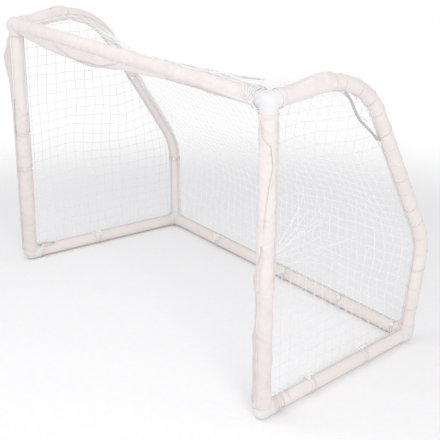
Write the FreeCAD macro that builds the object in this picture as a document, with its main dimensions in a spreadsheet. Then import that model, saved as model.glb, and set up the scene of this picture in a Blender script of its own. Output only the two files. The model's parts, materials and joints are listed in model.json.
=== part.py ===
import FreeCAD, Part
import math
import os
import Sketcher
from FreeCAD import Placement, Rotation, Vector

# A free-standing street-hockey goal: round plastic pipes pushed into corner fittings, cloth sleeves,
# a knotted net in panels, and the cord that ties the net on.
#
# Frame of the part, in millimetres: +X to the right as a shooter sees the goal, +Y from the mouth towards
# the back, +Z up. The origin is on the floor, midway between the posts and midway between front and back.
# In comments and names here, a corner centre is the point where the axes of the pipes of a corner meet.

SIZES = [
    # the pipes and the corners that they join
    ("opening_width", 1828.8),      # clear width between the bare posts
    ("post_height", 1219.2),        # between the corner centres of a post
    ("goal_depth", 906.0),          # between the front and rear corner centres, along Y
    ("rear_width", 1750.0),         # between the two rear corner centres
    ("pipe_outer", 60.3),
    ("pipe_wall", 3.9),
    # where the straight runs of a side tube would meet: shoulder above the crossbar, heel above the rear rail
    ("shoulder_back", 435.5),
    ("shoulder_rise", 53.2),
    ("shoulder_lean", 19.8),        # how far the shoulder stands further out than the crossbar's end
    ("shoulder_bend", 334.0),       # bend radius of the pipe's axis
    ("heel_back", 926.6),
    ("heel_height", 455.8),
    ("heel_bend", 323.0),
    # corner fittings
    ("fitting_outer", 70.0),
    ("collar_reach", 47.0),         # from the corner centre to the shoulder that a pipe's end butts on
    ("spigot_length", 40.0),        # of the plug inside a pipe's end
    ("bore_depth", 120.0),          # of a side tube, from its end; further in nothing opens or shows
    ("pipe_clearance", 0.3),        # radial, between a pipe's bore and the spigot's corners
    ("sole_depth", 1.0),            # flat taken off the underside of a floor corner
    # cloth sleeves
    ("sleeve_clearance", 0.3),
    ("sleeve_thickness", 2.5),
    ("post_flap_width", 13.0),
    ("bar_flap_width", 38.0),
    ("flap_thickness", 2.5),
    ("sleeve_margin", 4.0),         # from a collar's end to a sleeve's end
    ("left_sleeve_top", 412.0),     # from the upper corner centre down to the closed part of the left sleeve
    ("right_flap_top", 427.0),      # from the upper corner centre down to the right sleeve's flap
    ("bar_flap_start", 130.0),      # from the left corner centre to the crossbar sleeve's flap
    ("bar_flap_length", 900.0),
    # net
    ("mesh_width", 180.0),          # between the middles of neighbouring strands
    ("strand_width", 4.0),
    ("border_width", 8.0),
    ("net_thickness", 3.0),
    ("net_corner_margin", 5.0),     # from a collar's end to the net's cut corner
    ("seat_gap", 0.3),              # between a soft piece and what it is tied or wound round
    # lacing and ties
    ("cord_diameter", 3.0),
    ("lacing_pitch", 88.0),
    ("lacing_start", 300.0),        # along the side tube's axis from the upper corner centre
    ("lacing_end_space", 70.0),     # at least, between the last turn and the rear corner centre
    ("tie_width", 6.5),             # two turns of cord side by side
    ("knot_size", 8.0),
]
LEFT, RIGHT = -1, 1
SIDES = {"left": LEFT, "right": RIGHT}

# Where the ties sit: from the front corner centre on a side rail, and from the left one on the rear rail
LEFT_RAIL_TIES = [60.0, 394.0]
RIGHT_RAIL_TIES = [62.0, 90.0, 273.0, 606.0]
REAR_RAIL_TIES = [422.0, 966.0, 1358.0, 1690.0]
# On the left side tube the photograph shows two: one on the slope, from the upper corner centre, and one at the
# end of the heel, from the rear corner centre.
LEFT_SLOPE_TIE = 850.0
LEFT_HEEL_TIE = 361.0

doc = FreeCAD.newDocument("hockey_goal")
sheet = doc.addObject("Spreadsheet::Sheet", "sizes")
for row, (alias, value) in enumerate(SIZES, 1):
    sheet.set(f"A{row}", alias)
    sheet.set(f"B{row}", str(value))
    sheet.setAlias(f"B{row}", alias)
doc.recompute()


def cell(alias):
    return float(sheet.get(alias))


# Values that follow from the sheet

HALF_FRONT = (cell("opening_width") + cell("pipe_outer")) / 2
HALF_REAR = cell("rear_width") / 2
HEIGHT = cell("post_height")
DEPTH = cell("goal_depth")
PIPE_RADIUS = cell("pipe_outer") / 2
COLLAR_END = cell("collar_reach")
AXIS_HEIGHT = cell("fitting_outer") / 2 - cell("sole_depth")     # of the floor rails, above the floor
SLEEVE_INNER = PIPE_RADIUS + cell("sleeve_clearance")
SLEEVE_OUTER = SLEEVE_INNER + cell("sleeve_thickness")
CORD_REACH = PIPE_RADIUS + cell("seat_gap") + cell("cord_diameter")
NET_INSET = max(CORD_REACH, SLEEVE_OUTER) + cell("seat_gap")     # from a pipe's axis to the net's edge
NET_CORNER = COLLAR_END + cell("net_corner_margin")
SLEEVE_END = COLLAR_END + cell("sleeve_margin")

# The side tube's plane: x = PLANE_START + PLANE_BACK * y + PLANE_UP * z. It holds the upper front corner, the
# rear corner and the shoulder.
SHOULDER_SHARE = cell("shoulder_back") / DEPTH
PLANE_UP = (cell("shoulder_lean") + (HALF_FRONT - HALF_REAR) * SHOULDER_SHARE) / (
    HEIGHT * SHOULDER_SHARE + cell("shoulder_rise")
)
PLANE_START = HALF_FRONT - PLANE_UP * HEIGHT
PLANE_BACK = (HALF_REAR - PLANE_START) / DEPTH


def place(x, y, z):
    """A point of the part's frame, from x, the distance behind the posts and the height above the rails."""
    return Vector(x, y - DEPTH / 2, z + AXIS_HEIGHT)


def tube_plane_x(y, z):
    return PLANE_START + PLANE_BACK * y + PLANE_UP * z


def rail_plane_x(y):
    return HALF_FRONT + (HALF_REAR - HALF_FRONT) * y / DEPTH


# The corners of the side tube's route as (y, z)
ROUTE = [
    (0.0, HEIGHT),
    (cell("shoulder_back"), HEIGHT + cell("shoulder_rise")),
    (cell("heel_back"), cell("heel_height")),
    (DEPTH, 0.0),
]


def route_point(side, index):
    y, z = ROUTE[index]
    return place(side * tube_plane_x(y, z), y, z)


def unit(vector):
    return vector / vector.Length


def turn_between(before, after):
    return math.acos(max(-1.0, min(1.0, unit(before).dot(unit(after)))))


def side_tube_runs(side):
    """Straight lengths, bend angles and directions of a side tube, from corner centre to corner centre."""
    points = [route_point(side, i) for i in range(4)]
    legs = [points[i + 1] - points[i] for i in range(3)]
    turns = [turn_between(legs[0], legs[1]), turn_between(legs[1], legs[2])]
    radii = [cell("shoulder_bend"), cell("heel_bend")]
    tangents = [radius * math.tan(turn / 2) for radius, turn in zip(radii, turns)]
    lengths = [
        legs[0].Length - tangents[0],
        legs[1].Length - tangents[0] - tangents[1],
        legs[2].Length - tangents[1],
    ]
    return lengths, turns, radii, [unit(leg) for leg in legs]


# Sketches and pads

def new_sketch(body, name, role="XY_Plane"):
    sketch = body.newObject("Sketcher::SketchObject", name)
    plane = next(feature for feature in body.Origin.OriginFeatures if feature.Role == role)
    sketch.AttachmentSupport = (plane, [""])
    sketch.MapMode = "FlatFace"
    return sketch


def bind(sketch, constraint, expression):
    """Adds a dimension to a sketch and ties it to the sheet."""
    index = sketch.addConstraint(constraint)
    sketch.setExpression(f"Constraints[{index}]", expression)


def add_circle(sketch, radius, expression):
    index = sketch.addGeometry(Part.Circle(Vector(0, 0, 0), Vector(0, 0, 1), radius), False)
    sketch.addConstraint(Sketcher.Constraint("Coincident", index, 3, -1, 1))
    bind(sketch, Sketcher.Constraint("Radius", index, radius), expression)


def add_ring(sketch, inner, inner_expression, outer, outer_expression):
    add_circle(sketch, outer, outer_expression)
    add_circle(sketch, inner, inner_expression)


def add_pipe_section(sketch):
    add_ring(
        sketch,
        PIPE_RADIUS - cell("pipe_wall"), "sizes.pipe_outer / 2 - sizes.pipe_wall",
        PIPE_RADIUS, "sizes.pipe_outer / 2",
    )


def add_flap_section(sketch, width):
    """A strip that stands out of the sleeve's wall along the sketch's X axis. width names its size."""
    low = SLEEVE_OUTER - cell("sleeve_thickness") / 2
    high = SLEEVE_OUTER + cell(width)
    half = cell("flap_thickness") / 2
    corners = [Vector(low, -half, 0), Vector(high, -half, 0), Vector(high, half, 0), Vector(low, half, 0)]
    lines = [
        sketch.addGeometry(Part.LineSegment(corners[i], corners[(i + 1) % 4]), False)
        for i in range(4)
    ]
    for i in range(4):
        sketch.addConstraint(Sketcher.Constraint("Coincident", lines[i], 2, lines[(i + 1) % 4], 1))
    sketch.addConstraint(Sketcher.Constraint("Horizontal", lines[0]))
    sketch.addConstraint(Sketcher.Constraint("Horizontal", lines[2]))
    sketch.addConstraint(Sketcher.Constraint("Vertical", lines[1]))
    sketch.addConstraint(Sketcher.Constraint("Symmetric", lines[0], 1, lines[3], 1, -1))
    bind(sketch, Sketcher.Constraint("DistanceY", lines[1], 1, lines[1], 2, 2 * half), "sizes.flap_thickness")
    bind(
        sketch, Sketcher.Constraint("DistanceX", -1, 1, lines[0], 1, low),
        "sizes.pipe_outer / 2 + sizes.sleeve_clearance + sizes.sleeve_thickness / 2",
    )
    bind(
        sketch, Sketcher.Constraint("DistanceX", lines[0], 1, lines[0], 2, high - low),
        f"sizes.{width} + sizes.sleeve_thickness / 2",
    )


def add_pad(body, sketch, name, length_expression):
    pad = body.newObject("PartDesign::Pad", name)
    pad.Profile = sketch
    pad.setExpression("Length", length_expression)
    sketch.Visibility = False
    return pad


def frame_from(origin, axis_z, axis_x):
    """A placement whose own Z and X point along the two given directions."""
    axis_z = unit(axis_z)
    axis_y = unit(axis_z.cross(axis_x))
    return Placement(origin, Rotation(axis_y.cross(axis_z), axis_y, axis_z, "ZXY"))


def along(origin, direction, distance=0.0):
    """A placement whose own Z points along the direction, moved that way by the distance."""
    direction = unit(direction)
    return Placement(origin + direction * distance, Rotation(Vector(0, 0, 1), direction))


# Straight pipes

RAIL_LENGTH = "sqrt(sizes.goal_depth^2 + ((sizes.opening_width + sizes.pipe_outer - sizes.rear_width) / 2)^2)"
CUT_BACK = " - 2 * sizes.collar_reach"


def straight_pipe(label, start, end, length_expression):
    body = doc.addObject("PartDesign::Body", label)
    sketch = new_sketch(body, label + "_section")
    add_pipe_section(sketch)
    add_pad(body, sketch, label + "_pad", length_expression + CUT_BACK)
    body.Placement = along(start, end - start, COLLAR_END)
    body.Label = label
    return body


def corner(side, back, up):
    half = HALF_REAR if back else HALF_FRONT
    return place(side * half, DEPTH if back else 0.0, HEIGHT if up else 0.0)


def make_straight_pipes():
    pipes = []
    for name, side in SIDES.items():
        foot = corner(side, False, False)
        pipes.append(straight_pipe(name + "_front_post", foot, corner(side, False, True), "sizes.post_height"))
        pipes.append(straight_pipe(name + "_side_rail", foot, corner(side, True, False), RAIL_LENGTH))
    pipes.append(straight_pipe(
        "crossbar", corner(LEFT, False, True), corner(RIGHT, False, True),
        "sizes.opening_width + sizes.pipe_outer",
    ))
    pipes.append(straight_pipe(
        "rear_rail", corner(LEFT, True, False), corner(RIGHT, True, False), "sizes.rear_width",
    ))
    return pipes


# Bars on an axis, and how pieces are joined and cut

def arm_bar(kind, name, centre, direction, start, radius_expression, height_expression):
    """A round or many-sided bar on an arm's axis, which starts some way along the arm."""
    piece = doc.addObject(kind, name)
    piece.setExpression("Circumradius" if kind == "Part::Prism" else "Radius", radius_expression)
    piece.setExpression("Height", height_expression)
    piece.Placement = along(centre, direction, start)
    return piece


def fuse(name, pieces):
    joined = doc.addObject("Part::MultiFuse", name)
    joined.Shapes = pieces
    joined.Refine = True
    return joined


def cut(name, base, tool):
    result = doc.addObject("Part::Cut", name)
    result.Base = base
    result.Tool = tool
    result.Refine = True
    return result


def group(label, members):
    """One named group of separate solids."""
    together = doc.addObject("Part::Compound", label)
    together.Links = members
    together.Label = label
    return together


# Side tubes: one pipe each, bent at the shoulder and at the heel

def bend_points(lengths, turns, radii):
    """The flat route of a bent pipe that starts along X and turns clockwise: its runs and arcs."""
    pieces = []
    here = Vector(COLLAR_END, 0, 0)
    heading = 0.0
    runs = [lengths[0] - COLLAR_END, lengths[1], lengths[2] - COLLAR_END]
    for i, run in enumerate(runs):
        ahead = here + Vector(math.cos(heading), math.sin(heading), 0) * run
        pieces.append(Part.LineSegment(here, ahead))
        here = ahead
        if i < len(turns):
            centre = here + Vector(math.sin(heading), -math.cos(heading), 0) * radii[i]
            start = heading + math.pi / 2
            circle = Part.Circle(centre, Vector(0, 0, 1), radii[i])
            pieces.append(Part.ArcOfCircle(circle, start - turns[i], start))
            heading -= turns[i]
            here = centre - Vector(math.sin(heading), -math.cos(heading), 0) * radii[i]
    return pieces


def add_route(sketch, lengths, turns, radii):
    """Draws the bent route and holds it with run lengths, bend radii and bend angles."""
    runs_and_bends = [sketch.addGeometry(piece, False) for piece in bend_points(lengths, turns, radii)]
    run_one, bend_one, run_two, bend_two, run_three = runs_and_bends
    # an arc is drawn anticlockwise, so a clockwise route enters it at its end and leaves at its start
    for before, before_end, after, after_end in (
        (run_one, 2, bend_one, 2),
        (bend_one, 1, run_two, 1),
        (run_two, 2, bend_two, 2),
        (bend_two, 1, run_three, 1),
    ):
        sketch.addConstraint(Sketcher.Constraint("Tangent", before, before_end, after, after_end))
    sketch.addConstraint(Sketcher.Constraint("PointOnObject", run_one, 1, -1))
    sketch.addConstraint(Sketcher.Constraint("Horizontal", run_one))
    bind(sketch, Sketcher.Constraint("DistanceX", -1, 1, run_one, 1, COLLAR_END), "sizes.collar_reach")
    bind(sketch, Sketcher.Constraint("Radius", bend_one, radii[0]), "sizes.shoulder_bend")
    bind(sketch, Sketcher.Constraint("Radius", bend_two, radii[1]), "sizes.heel_bend")
    sketch.addConstraint(Sketcher.Constraint("Distance", run_one, lengths[0] - COLLAR_END))
    sketch.addConstraint(Sketcher.Constraint("Distance", run_two, lengths[1]))
    sketch.addConstraint(Sketcher.Constraint("Distance", run_three, lengths[2] - COLLAR_END))
    sketch.addConstraint(Sketcher.Constraint("Angle", run_two, -turns[0]))
    sketch.addConstraint(Sketcher.Constraint("Angle", run_three, -turns[0] - turns[1]))


def make_side_tube(name, side):
    lengths, turns, radii, directions = side_tube_runs(side)
    label = name + "_side_tube"
    body = doc.addObject("PartDesign::Body", label + "_bar")
    route = new_sketch(body, label + "_route")
    add_route(route, lengths, turns, radii)
    section = new_sketch(body, label + "_section", "YZ_Plane")
    section.setExpression("AttachmentOffset.Base.z", "sizes.collar_reach")
    add_circle(section, PIPE_RADIUS, "sizes.pipe_outer / 2")
    doc.recompute()
    pipe = body.newObject("PartDesign::AdditivePipe", label + "_pipe")
    pipe.Profile = section
    pipe.Spine = (route, [f"Edge{i + 1}" for i in range(5)])
    route.Visibility = False
    section.Visibility = False
    # own X runs along the first run and own Y points up, so own Z is square to the tube's plane
    square = directions[1].cross(directions[0])
    body.Placement = Placement(
        route_point(side, 0),
        Rotation(directions[0], unit(square.cross(directions[0])), unit(square), "XYZ"),
    )
    bores = [
        arm_bar(
            "Part::Cylinder", label + f"_bore_{i}", centre, direction, COLLAR_END,
            "sizes.pipe_outer / 2 - sizes.pipe_wall", "sizes.bore_depth",
        )
        for i, (centre, direction) in enumerate((
            (route_point(side, 0), directions[0]),
            (route_point(side, 3), directions[2] * -1),
        ))
    ]
    tube = cut(label + "_bored", body, fuse(label + "_bores", bores))
    tube.Label = label
    return tube


# Corner fittings

SPIGOT_SIDES = 8


def make_fitting(label, centre, directions, on_floor):
    """A moulded corner: a round core, and for each pipe a collar to butt on and a spigot inside it."""
    core = doc.addObject("Part::Sphere", label + "_core")
    core.setExpression("Radius", "sizes.fitting_outer / 2")
    core.Placement = Placement(centre, Rotation())
    pieces = [core]
    for i, direction in enumerate(directions):
        pieces.append(arm_bar(
            "Part::Cylinder", label + f"_collar_{i}", centre, direction, 0.0,
            "sizes.fitting_outer / 2", "sizes.collar_reach",
        ))
        spigot = arm_bar(
            "Part::Prism", label + f"_spigot_{i}", centre, direction, COLLAR_END,
            "sizes.pipe_outer / 2 - sizes.pipe_wall - sizes.pipe_clearance", "sizes.spigot_length",
        )
        spigot.Polygon = SPIGOT_SIDES
        pieces.append(spigot)
    fitting = fuse(label + "_fitting", pieces)
    if on_floor:
        ground = doc.addObject("Part::Box", label + "_ground")
        for side in ("Length", "Width"):
            ground.setExpression(side, "4 * sizes.collar_reach")
        ground.setExpression("Height", "sizes.fitting_outer")
        reach = 2 * COLLAR_END
        ground.Placement = Placement(
            Vector(centre.x - reach, centre.y - reach, -cell("fitting_outer")), Rotation(),
        )
        fitting = cut(label + "_standing", fitting, ground)
    return fitting


def make_fittings():
    top_fittings, elbows, rear_fittings = [], [], []
    for name, side in SIDES.items():
        directions = side_tube_runs(side)[3]
        top, foot, rear = corner(side, False, True), corner(side, False, False), corner(side, True, False)
        inward, up = Vector(-side, 0, 0), Vector(0, 0, 1)
        top_fittings.append(make_fitting(name + "_top", top, [inward, up * -1, directions[0]], False))
        elbows.append(make_fitting(name + "_front", foot, [up, rear - foot], True))
        rear_ways = [inward, foot - rear, directions[2] * -1]
        rear_fittings.append(make_fitting(name + "_rear", rear, rear_ways, True))
    return [
        group("top_corner_fittings", top_fittings),
        group("front_corner_elbows", elbows),
        group("rear_corner_fittings", rear_fittings),
    ]


# Cloth sleeves

def make_sleeve(label, start, direction, flap_direction, length_expression, flap=None):
    """A cloth tube round a pipe. flap is its flap's width by name, and the start and length as expressions."""
    body = doc.addObject("PartDesign::Body", label)
    section = new_sketch(body, label + "_section")
    add_ring(
        section,
        SLEEVE_INNER, "sizes.pipe_outer / 2 + sizes.sleeve_clearance",
        SLEEVE_OUTER, "sizes.pipe_outer / 2 + sizes.sleeve_clearance + sizes.sleeve_thickness",
    )
    add_pad(body, section, label + "_wrap", length_expression)
    if flap:
        flap_section = new_sketch(body, label + "_flap_section")
        flap_width, flap_start, flap_length = flap
        flap_section.setExpression("AttachmentOffset.Base.z", flap_start)
        add_flap_section(flap_section, flap_width)
        add_pad(body, flap_section, label + "_flap", flap_length)
    body.Placement = frame_from(start, direction, flap_direction)
    body.Label = label
    return body


def make_sleeves():
    forward, down, up = Vector(0, -1, 0), Vector(0, 0, -1), Vector(0, 0, 1)
    end = "(sizes.collar_reach + sizes.sleeve_margin)"
    sleeves = [
        make_sleeve(
            "left_post_sleeve", corner(LEFT, False, False) + up * SLEEVE_END, up, forward,
            f"sizes.post_height - sizes.left_sleeve_top - {end}",
            ("post_flap_width", "0", f"sizes.post_height - 2 * {end}"),
        ),
        make_sleeve(
            "right_post_sleeve", corner(RIGHT, False, False) + up * SLEEVE_END, up, forward,
            f"sizes.post_height - 2 * {end}",
            ("post_flap_width", "0", f"sizes.post_height - sizes.right_flap_top - {end}"),
        ),
        make_sleeve(
            "crossbar_sleeve", corner(LEFT, False, True) + Vector(SLEEVE_END, 0, 0), Vector(1, 0, 0), down,
            f"sizes.opening_width + sizes.pipe_outer - 2 * {end}",
            ("bar_flap_width", f"sizes.bar_flap_start - {end}", "sizes.bar_flap_length"),
        ),
    ]
    roof_sleeves = []
    for name, side in SIDES.items():
        lengths, _, _, directions = side_tube_runs(side)
        start = corner(side, False, True) + directions[0] * SLEEVE_END
        body = make_sleeve(name + "_roof_sleeve", start, directions[0], up, str(lengths[0] - SLEEVE_END))
        roof_sleeves.append(body)
    return sleeves + [group("roof_sleeves", roof_sleeves)]


# Net outlines and gaps, in the flat of each panel

def clip(polygon, point, inward):
    """The part of a convex polygon on one side of a line."""
    kept = []
    for i, here in enumerate(polygon):
        ahead = polygon[(i + 1) % len(polygon)]
        depth_here = (here[0] - point[0]) * inward[0] + (here[1] - point[1]) * inward[1]
        depth_ahead = (ahead[0] - point[0]) * inward[0] + (ahead[1] - point[1]) * inward[1]
        if depth_here >= 0:
            kept.append(here)
        if (depth_here >= 0) != (depth_ahead >= 0):
            share = depth_here / (depth_here - depth_ahead)
            kept.append((here[0] + share * (ahead[0] - here[0]), here[1] + share * (ahead[1] - here[1])))
    return kept


def area(polygon):
    return sum(
        here[0] * ahead[1] - ahead[0] * here[1]
        for here, ahead in zip(polygon, polygon[1:] + polygon[:1])
    ) / 2


def inset_lines(outline, inset):
    """The sides of an anticlockwise convex outline moved inwards, each as a point and the inward direction."""
    lines = []
    for here, ahead in zip(outline, outline[1:] + outline[:1]):
        length = math.hypot(ahead[0] - here[0], ahead[1] - here[1])
        inward = ((here[1] - ahead[1]) / length, (ahead[0] - here[0]) / length)
        lines.append(((here[0] + inset * inward[0], here[1] + inset * inward[1]), inward))
    return lines


def even_steps(low, high):
    """Clear spans between strands that divide a width evenly at about the mesh width."""
    strand = cell("strand_width")
    count = max(1, round((high - low + strand) / cell("mesh_width")))
    step = (high - low + strand) / count
    return [(low + i * step, low + (i + 1) * step - strand) for i in range(count)]


def centred_steps(reach):
    """Clear spans between strands that stand at whole mesh widths from the middle, out to the given reach."""
    mesh, half_strand = cell("mesh_width"), cell("strand_width") / 2
    count = math.ceil(reach / mesh)
    return [(i * mesh + half_strand, (i + 1) * mesh - half_strand) for i in range(-count, count)]


SMALLEST_GAP = 0.06     # of a whole gap; what the edge leaves of a smaller one stays closed


def net_gaps(outline, columns, rows):
    lines = inset_lines(outline, cell("border_width"))
    whole = (cell("mesh_width") - cell("strand_width")) ** 2
    gaps = []
    for left, right in columns:
        for low, high in rows:
            gap = [(left, low), (right, low), (right, high), (left, high)]
            for point, inward in lines:
                gap = clip(gap, point, inward)
            if len(gap) > 2 and area(gap) > SMALLEST_GAP * whole:
                gaps.append(gap)
    return gaps


def wire(points):
    return Part.makePolygon(points + points[:1])


def add_solid(label, shape):
    piece = doc.addObject("Part::Feature", label)
    piece.Shape = shape
    piece.Placement = Placement()
    piece.Label = label
    return piece


# Roof and back of the net, which span between the side tubes

def net_half_width(y, z):
    """Half the net's width where it spans between the two side tubes."""
    slant = math.sqrt(1 + PLANE_BACK ** 2 + PLANE_UP ** 2)
    return tube_plane_x(y, z) - NET_INSET * slant


def flat_route():
    """The side tube's route seen from the side, in (y, z): where each bend starts and ends, and its centre."""
    bends = []
    for index, radius in ((1, cell("shoulder_bend")), (2, cell("heel_bend"))):
        before = Vector(ROUTE[index][0] - ROUTE[index - 1][0], ROUTE[index][1] - ROUTE[index - 1][1], 0)
        after = Vector(ROUTE[index + 1][0] - ROUTE[index][0], ROUTE[index + 1][1] - ROUTE[index][1], 0)
        reach = radius * math.tan(turn_between(before, after) / 2)
        apex = Vector(ROUTE[index][0], ROUTE[index][1], 0)
        start = apex - unit(before) * reach
        end = apex + unit(after) * reach
        square = Vector(unit(before).y, -unit(before).x, 0)
        bends.append((start, end, start + square * radius, radius))
    return bends


SHOULDER, HEEL = flat_route()


def flat_panel(label, start, end, cut_start, cut_end):
    """A flat holed panel from one (y, z) to another; a cut end keeps clear of the collars beside it."""
    run = end - start
    length = run.Length
    direction = run / length

    def half_at(distance):
        point = start + direction * distance
        return net_half_width(point.x, point.y)

    corner_run = NET_CORNER - NET_INSET
    outline = []
    if cut_start:
        outline += [(-half_at(0) + corner_run, 0), (half_at(0) - corner_run, 0)]
        outline.append((half_at(corner_run), corner_run))
    else:
        outline += [(-half_at(0), 0), (half_at(0), 0)]
    if cut_end:
        inner = length - corner_run
        outline += [(half_at(inner), inner), (half_at(length) - corner_run, length)]
        outline += [(-half_at(length) + corner_run, length), (-half_at(inner), inner)]
    else:
        outline += [(half_at(length), length), (-half_at(length), length)]
    if cut_start:
        outline.append((-half_at(corner_run), corner_run))
    border = cell("border_width")
    rows = even_steps(border, length - border)
    gaps = net_gaps(outline, centred_steps(max(half_at(0), half_at(length))), rows)
    normal = Vector(0, -direction.y, direction.x) * cell("net_thickness")

    def lift(point):
        y, z = start.x + direction.x * point[1], start.y + direction.y * point[1]
        return place(point[0], y, z) - normal / 2

    wires = [wire([lift(point) for point in polygon]) for polygon in [outline] + gaps]
    face = Part.makeFace(wires, "Part::FaceMakerBullseye")
    return add_solid(label, face.extrude(normal))


WIDEST_FOLD = math.radians(24)      # between neighbouring flat strips of a bent panel
TOOL_REACH = 4                      # net thicknesses that a cutting tool reaches either side of a panel


def bent_panel(label, bend):
    """A holed panel that goes round the shoulder or the heel in flat strips, one row of gaps in each."""
    start, end, centre, radius = bend
    half = cell("net_thickness") / 2
    first = math.atan2(start.y - centre.y, start.x - centre.x)
    last = math.atan2(end.y - centre.y, end.x - centre.x)
    strips = math.ceil(abs(last - first) / WIDEST_FOLD)
    folds = [first + (last - first) * i / strips for i in range(strips + 1)]

    def on_arc(angle, r):
        return centre.x + r * math.cos(angle), centre.y + r * math.sin(angle)

    def slab(angles, r_1, r_2, x_1, x_2):
        """A bent bar between two radii, with a fold at each inner angle."""
        section = [on_arc(angle, r_2) for angle in angles] + [on_arc(angle, r_1) for angle in reversed(angles)]
        return Part.Face(wire([place(x_1, y, z) for y, z in section])).extrude(Vector(x_2 - x_1, 0, 0))

    widest = max(net_half_width(*on_arc(angle, radius)) for angle in folds)
    reach = widest + cell("mesh_width")
    panel = slab(folds, radius - half, radius + half, -reach, reach)
    for side in SIDES.values():
        panel = panel.cut(beyond_tube_plane(side, reach + cell("mesh_width")))
    border = cell("border_width")
    deep = TOOL_REACH * cell("net_thickness")
    tools = []
    for i in range(strips):
        low = border if i == 0 else cell("strand_width") / 2
        high = border if i == strips - 1 else cell("strand_width") / 2
        angles = [folds[i] - low / radius, folds[i + 1] + high / radius]
        row_half = min(net_half_width(*on_arc(angle, radius)) for angle in angles) - border
        for left, right in centred_steps(widest):
            left, right = max(left, -row_half), min(right, row_half)
            if right - left > SMALLEST_GAP * cell("mesh_width"):
                tools.append(slab(angles, radius - deep, radius + deep, left, right))
    return add_solid(label, panel.cut(Part.makeCompound(tools)))


def beyond_tube_plane(side, reach):
    """A block that holds everything beyond the net's edge beside a side tube, out to a reach across."""
    low, high = -DEPTH, 2 * HEIGHT
    front, back = -DEPTH, 2 * DEPTH
    corners = [(front, low), (back, low), (back, high), (front, high)]
    near = [place(side * net_half_width(y, z), y, z) for y, z in corners]
    far = [place(side * 2 * reach, y, z) for y, z in corners]
    faces = [Part.Face(wire(near)), Part.Face(wire(far))]
    for i in range(4):
        j = (i + 1) % 4
        faces.append(Part.Face(wire([near[i], near[j], far[j], far[i]])))
    solid = Part.Solid(Part.Shell(faces))
    return solid if solid.Volume > 0 else solid.reversed()


def make_roof_and_back_nets():
    upper = Vector(ROUTE[0][0], ROUTE[0][1], 0)
    lower = Vector(ROUTE[3][0], ROUTE[3][1], 0)
    roof_start = upper + unit(SHOULDER[0] - upper) * NET_INSET
    rail_end = lower + unit(HEEL[1] - lower) * NET_INSET
    return [
        flat_panel("roof_net", roof_start, SHOULDER[0], True, False),
        bent_panel("shoulder_net", SHOULDER),
        flat_panel("sloping_back_net", SHOULDER[1], HEEL[0], False, False),
        bent_panel("heel_net", HEEL),
        flat_panel("lower_back_net", HEEL[1], rail_end, False, True),
    ]


# Side nets: each lies in the tube's plane above a fold, and in the upright plane of post and rail below it

def offset_inside(point, direction, distance):
    """A point moved square to a clockwise route, to its inner side."""
    return Vector(point.x + direction.y * distance, point.y - direction.x * distance, 0)


def side_outline():
    """The outline in (y, z), anticlockwise as seen with y to the right. It crosses each bend on a chord."""
    upper = Vector(ROUTE[0][0], ROUTE[0][1], 0)
    lower = Vector(ROUTE[3][0], ROUTE[3][1], 0)
    roof = unit(SHOULDER[0] - upper)
    slope = unit(HEEL[0] - SHOULDER[1])
    upright = unit(lower - HEEL[1])
    clockwise = [
        Vector(NET_INSET, NET_CORNER, 0),
        Vector(NET_INSET, HEIGHT - NET_CORNER, 0),
        offset_inside(upper + roof * NET_CORNER, roof, NET_INSET),
        offset_inside(SHOULDER[0], roof, NET_INSET),
        offset_inside(SHOULDER[1], slope, NET_INSET),
        offset_inside(HEEL[0], slope, NET_INSET),
        offset_inside(HEEL[1], upright, NET_INSET),
        offset_inside(lower - upright * NET_CORNER, upright, NET_INSET),
        Vector(DEPTH - NET_CORNER, NET_INSET, 0),
        Vector(NET_CORNER, NET_INSET, 0),
    ]
    return [(point.x, point.y) for point in reversed(clockwise)]


def make_side_net(name, side):
    outline = side_outline()
    fold_up = (HEIGHT / math.hypot(HEIGHT, DEPTH), DEPTH / math.hypot(HEIGHT, DEPTH))
    fold_down = (-fold_up[0], -fold_up[1])
    fold_point = (DEPTH, 0.0)
    thickness = cell("net_thickness")

    def plate(polygon, plane_x):
        points = [place(side * plane_x(y, z) - thickness / 2, y, z) for y, z in polygon]
        return Part.Face(wire(points)).extrude(Vector(thickness, 0, 0))

    upper = plate(clip(outline, fold_point, fold_up), tube_plane_x)
    lower = plate(clip(outline, fold_point, fold_down), lambda y, z: rail_plane_x(y))
    ys, zs = [point[0] for point in outline], [point[1] for point in outline]
    border = cell("border_width")
    gaps = net_gaps(
        outline,
        even_steps(min(ys) + border, max(ys) - border),
        even_steps(min(zs) + border, max(zs) - border),
    )
    reach = 2 * HALF_FRONT
    tools = [
        Part.Face(wire([place(0, y, z) for y, z in gap])).extrude(Vector(side * reach, 0, 0))
        for gap in gaps
    ]
    net = upper.fuse(lower).removeSplitter().cut(Part.makeCompound(tools))
    return add_solid(name + "_side_net", net)


# Lacing: one cord wound round the right side tube, where the photograph shows its turns

def tube_axis(side):
    """The axis length of a side tube, and a function from the distance along it to the point and inward way."""
    lengths, turns, radii, directions = side_tube_runs(side)
    square = unit(directions[1].cross(directions[0]))
    stations = []
    distance, point = 0.0, route_point(side, 0)
    for i in range(len(lengths)):
        stations.append((distance, point, directions[i], None))
        distance += lengths[i]
        point = point + directions[i] * lengths[i]
        if i < len(turns):
            inner = directions[i].cross(square)
            stations.append((distance, point, directions[i], radii[i]))
            distance += radii[i] * turns[i]
            point = point + inner * radii[i] - directions[i + 1].cross(square) * radii[i]

    def at(s):
        start, base, direction, radius = [station for station in stations if station[0] <= s][-1]
        inner = direction.cross(square)
        if radius is None:
            return base + direction * (s - start), inner, square
        angle = (s - start) / radius
        heading = inner * math.cos(angle) - direction * math.sin(angle)
        return base + inner * radius - heading * radius, heading, square

    return distance, at


STRAIGHT = 1e-9         # sine of the angle to its chord below which an arc is drawn as a line


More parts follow.
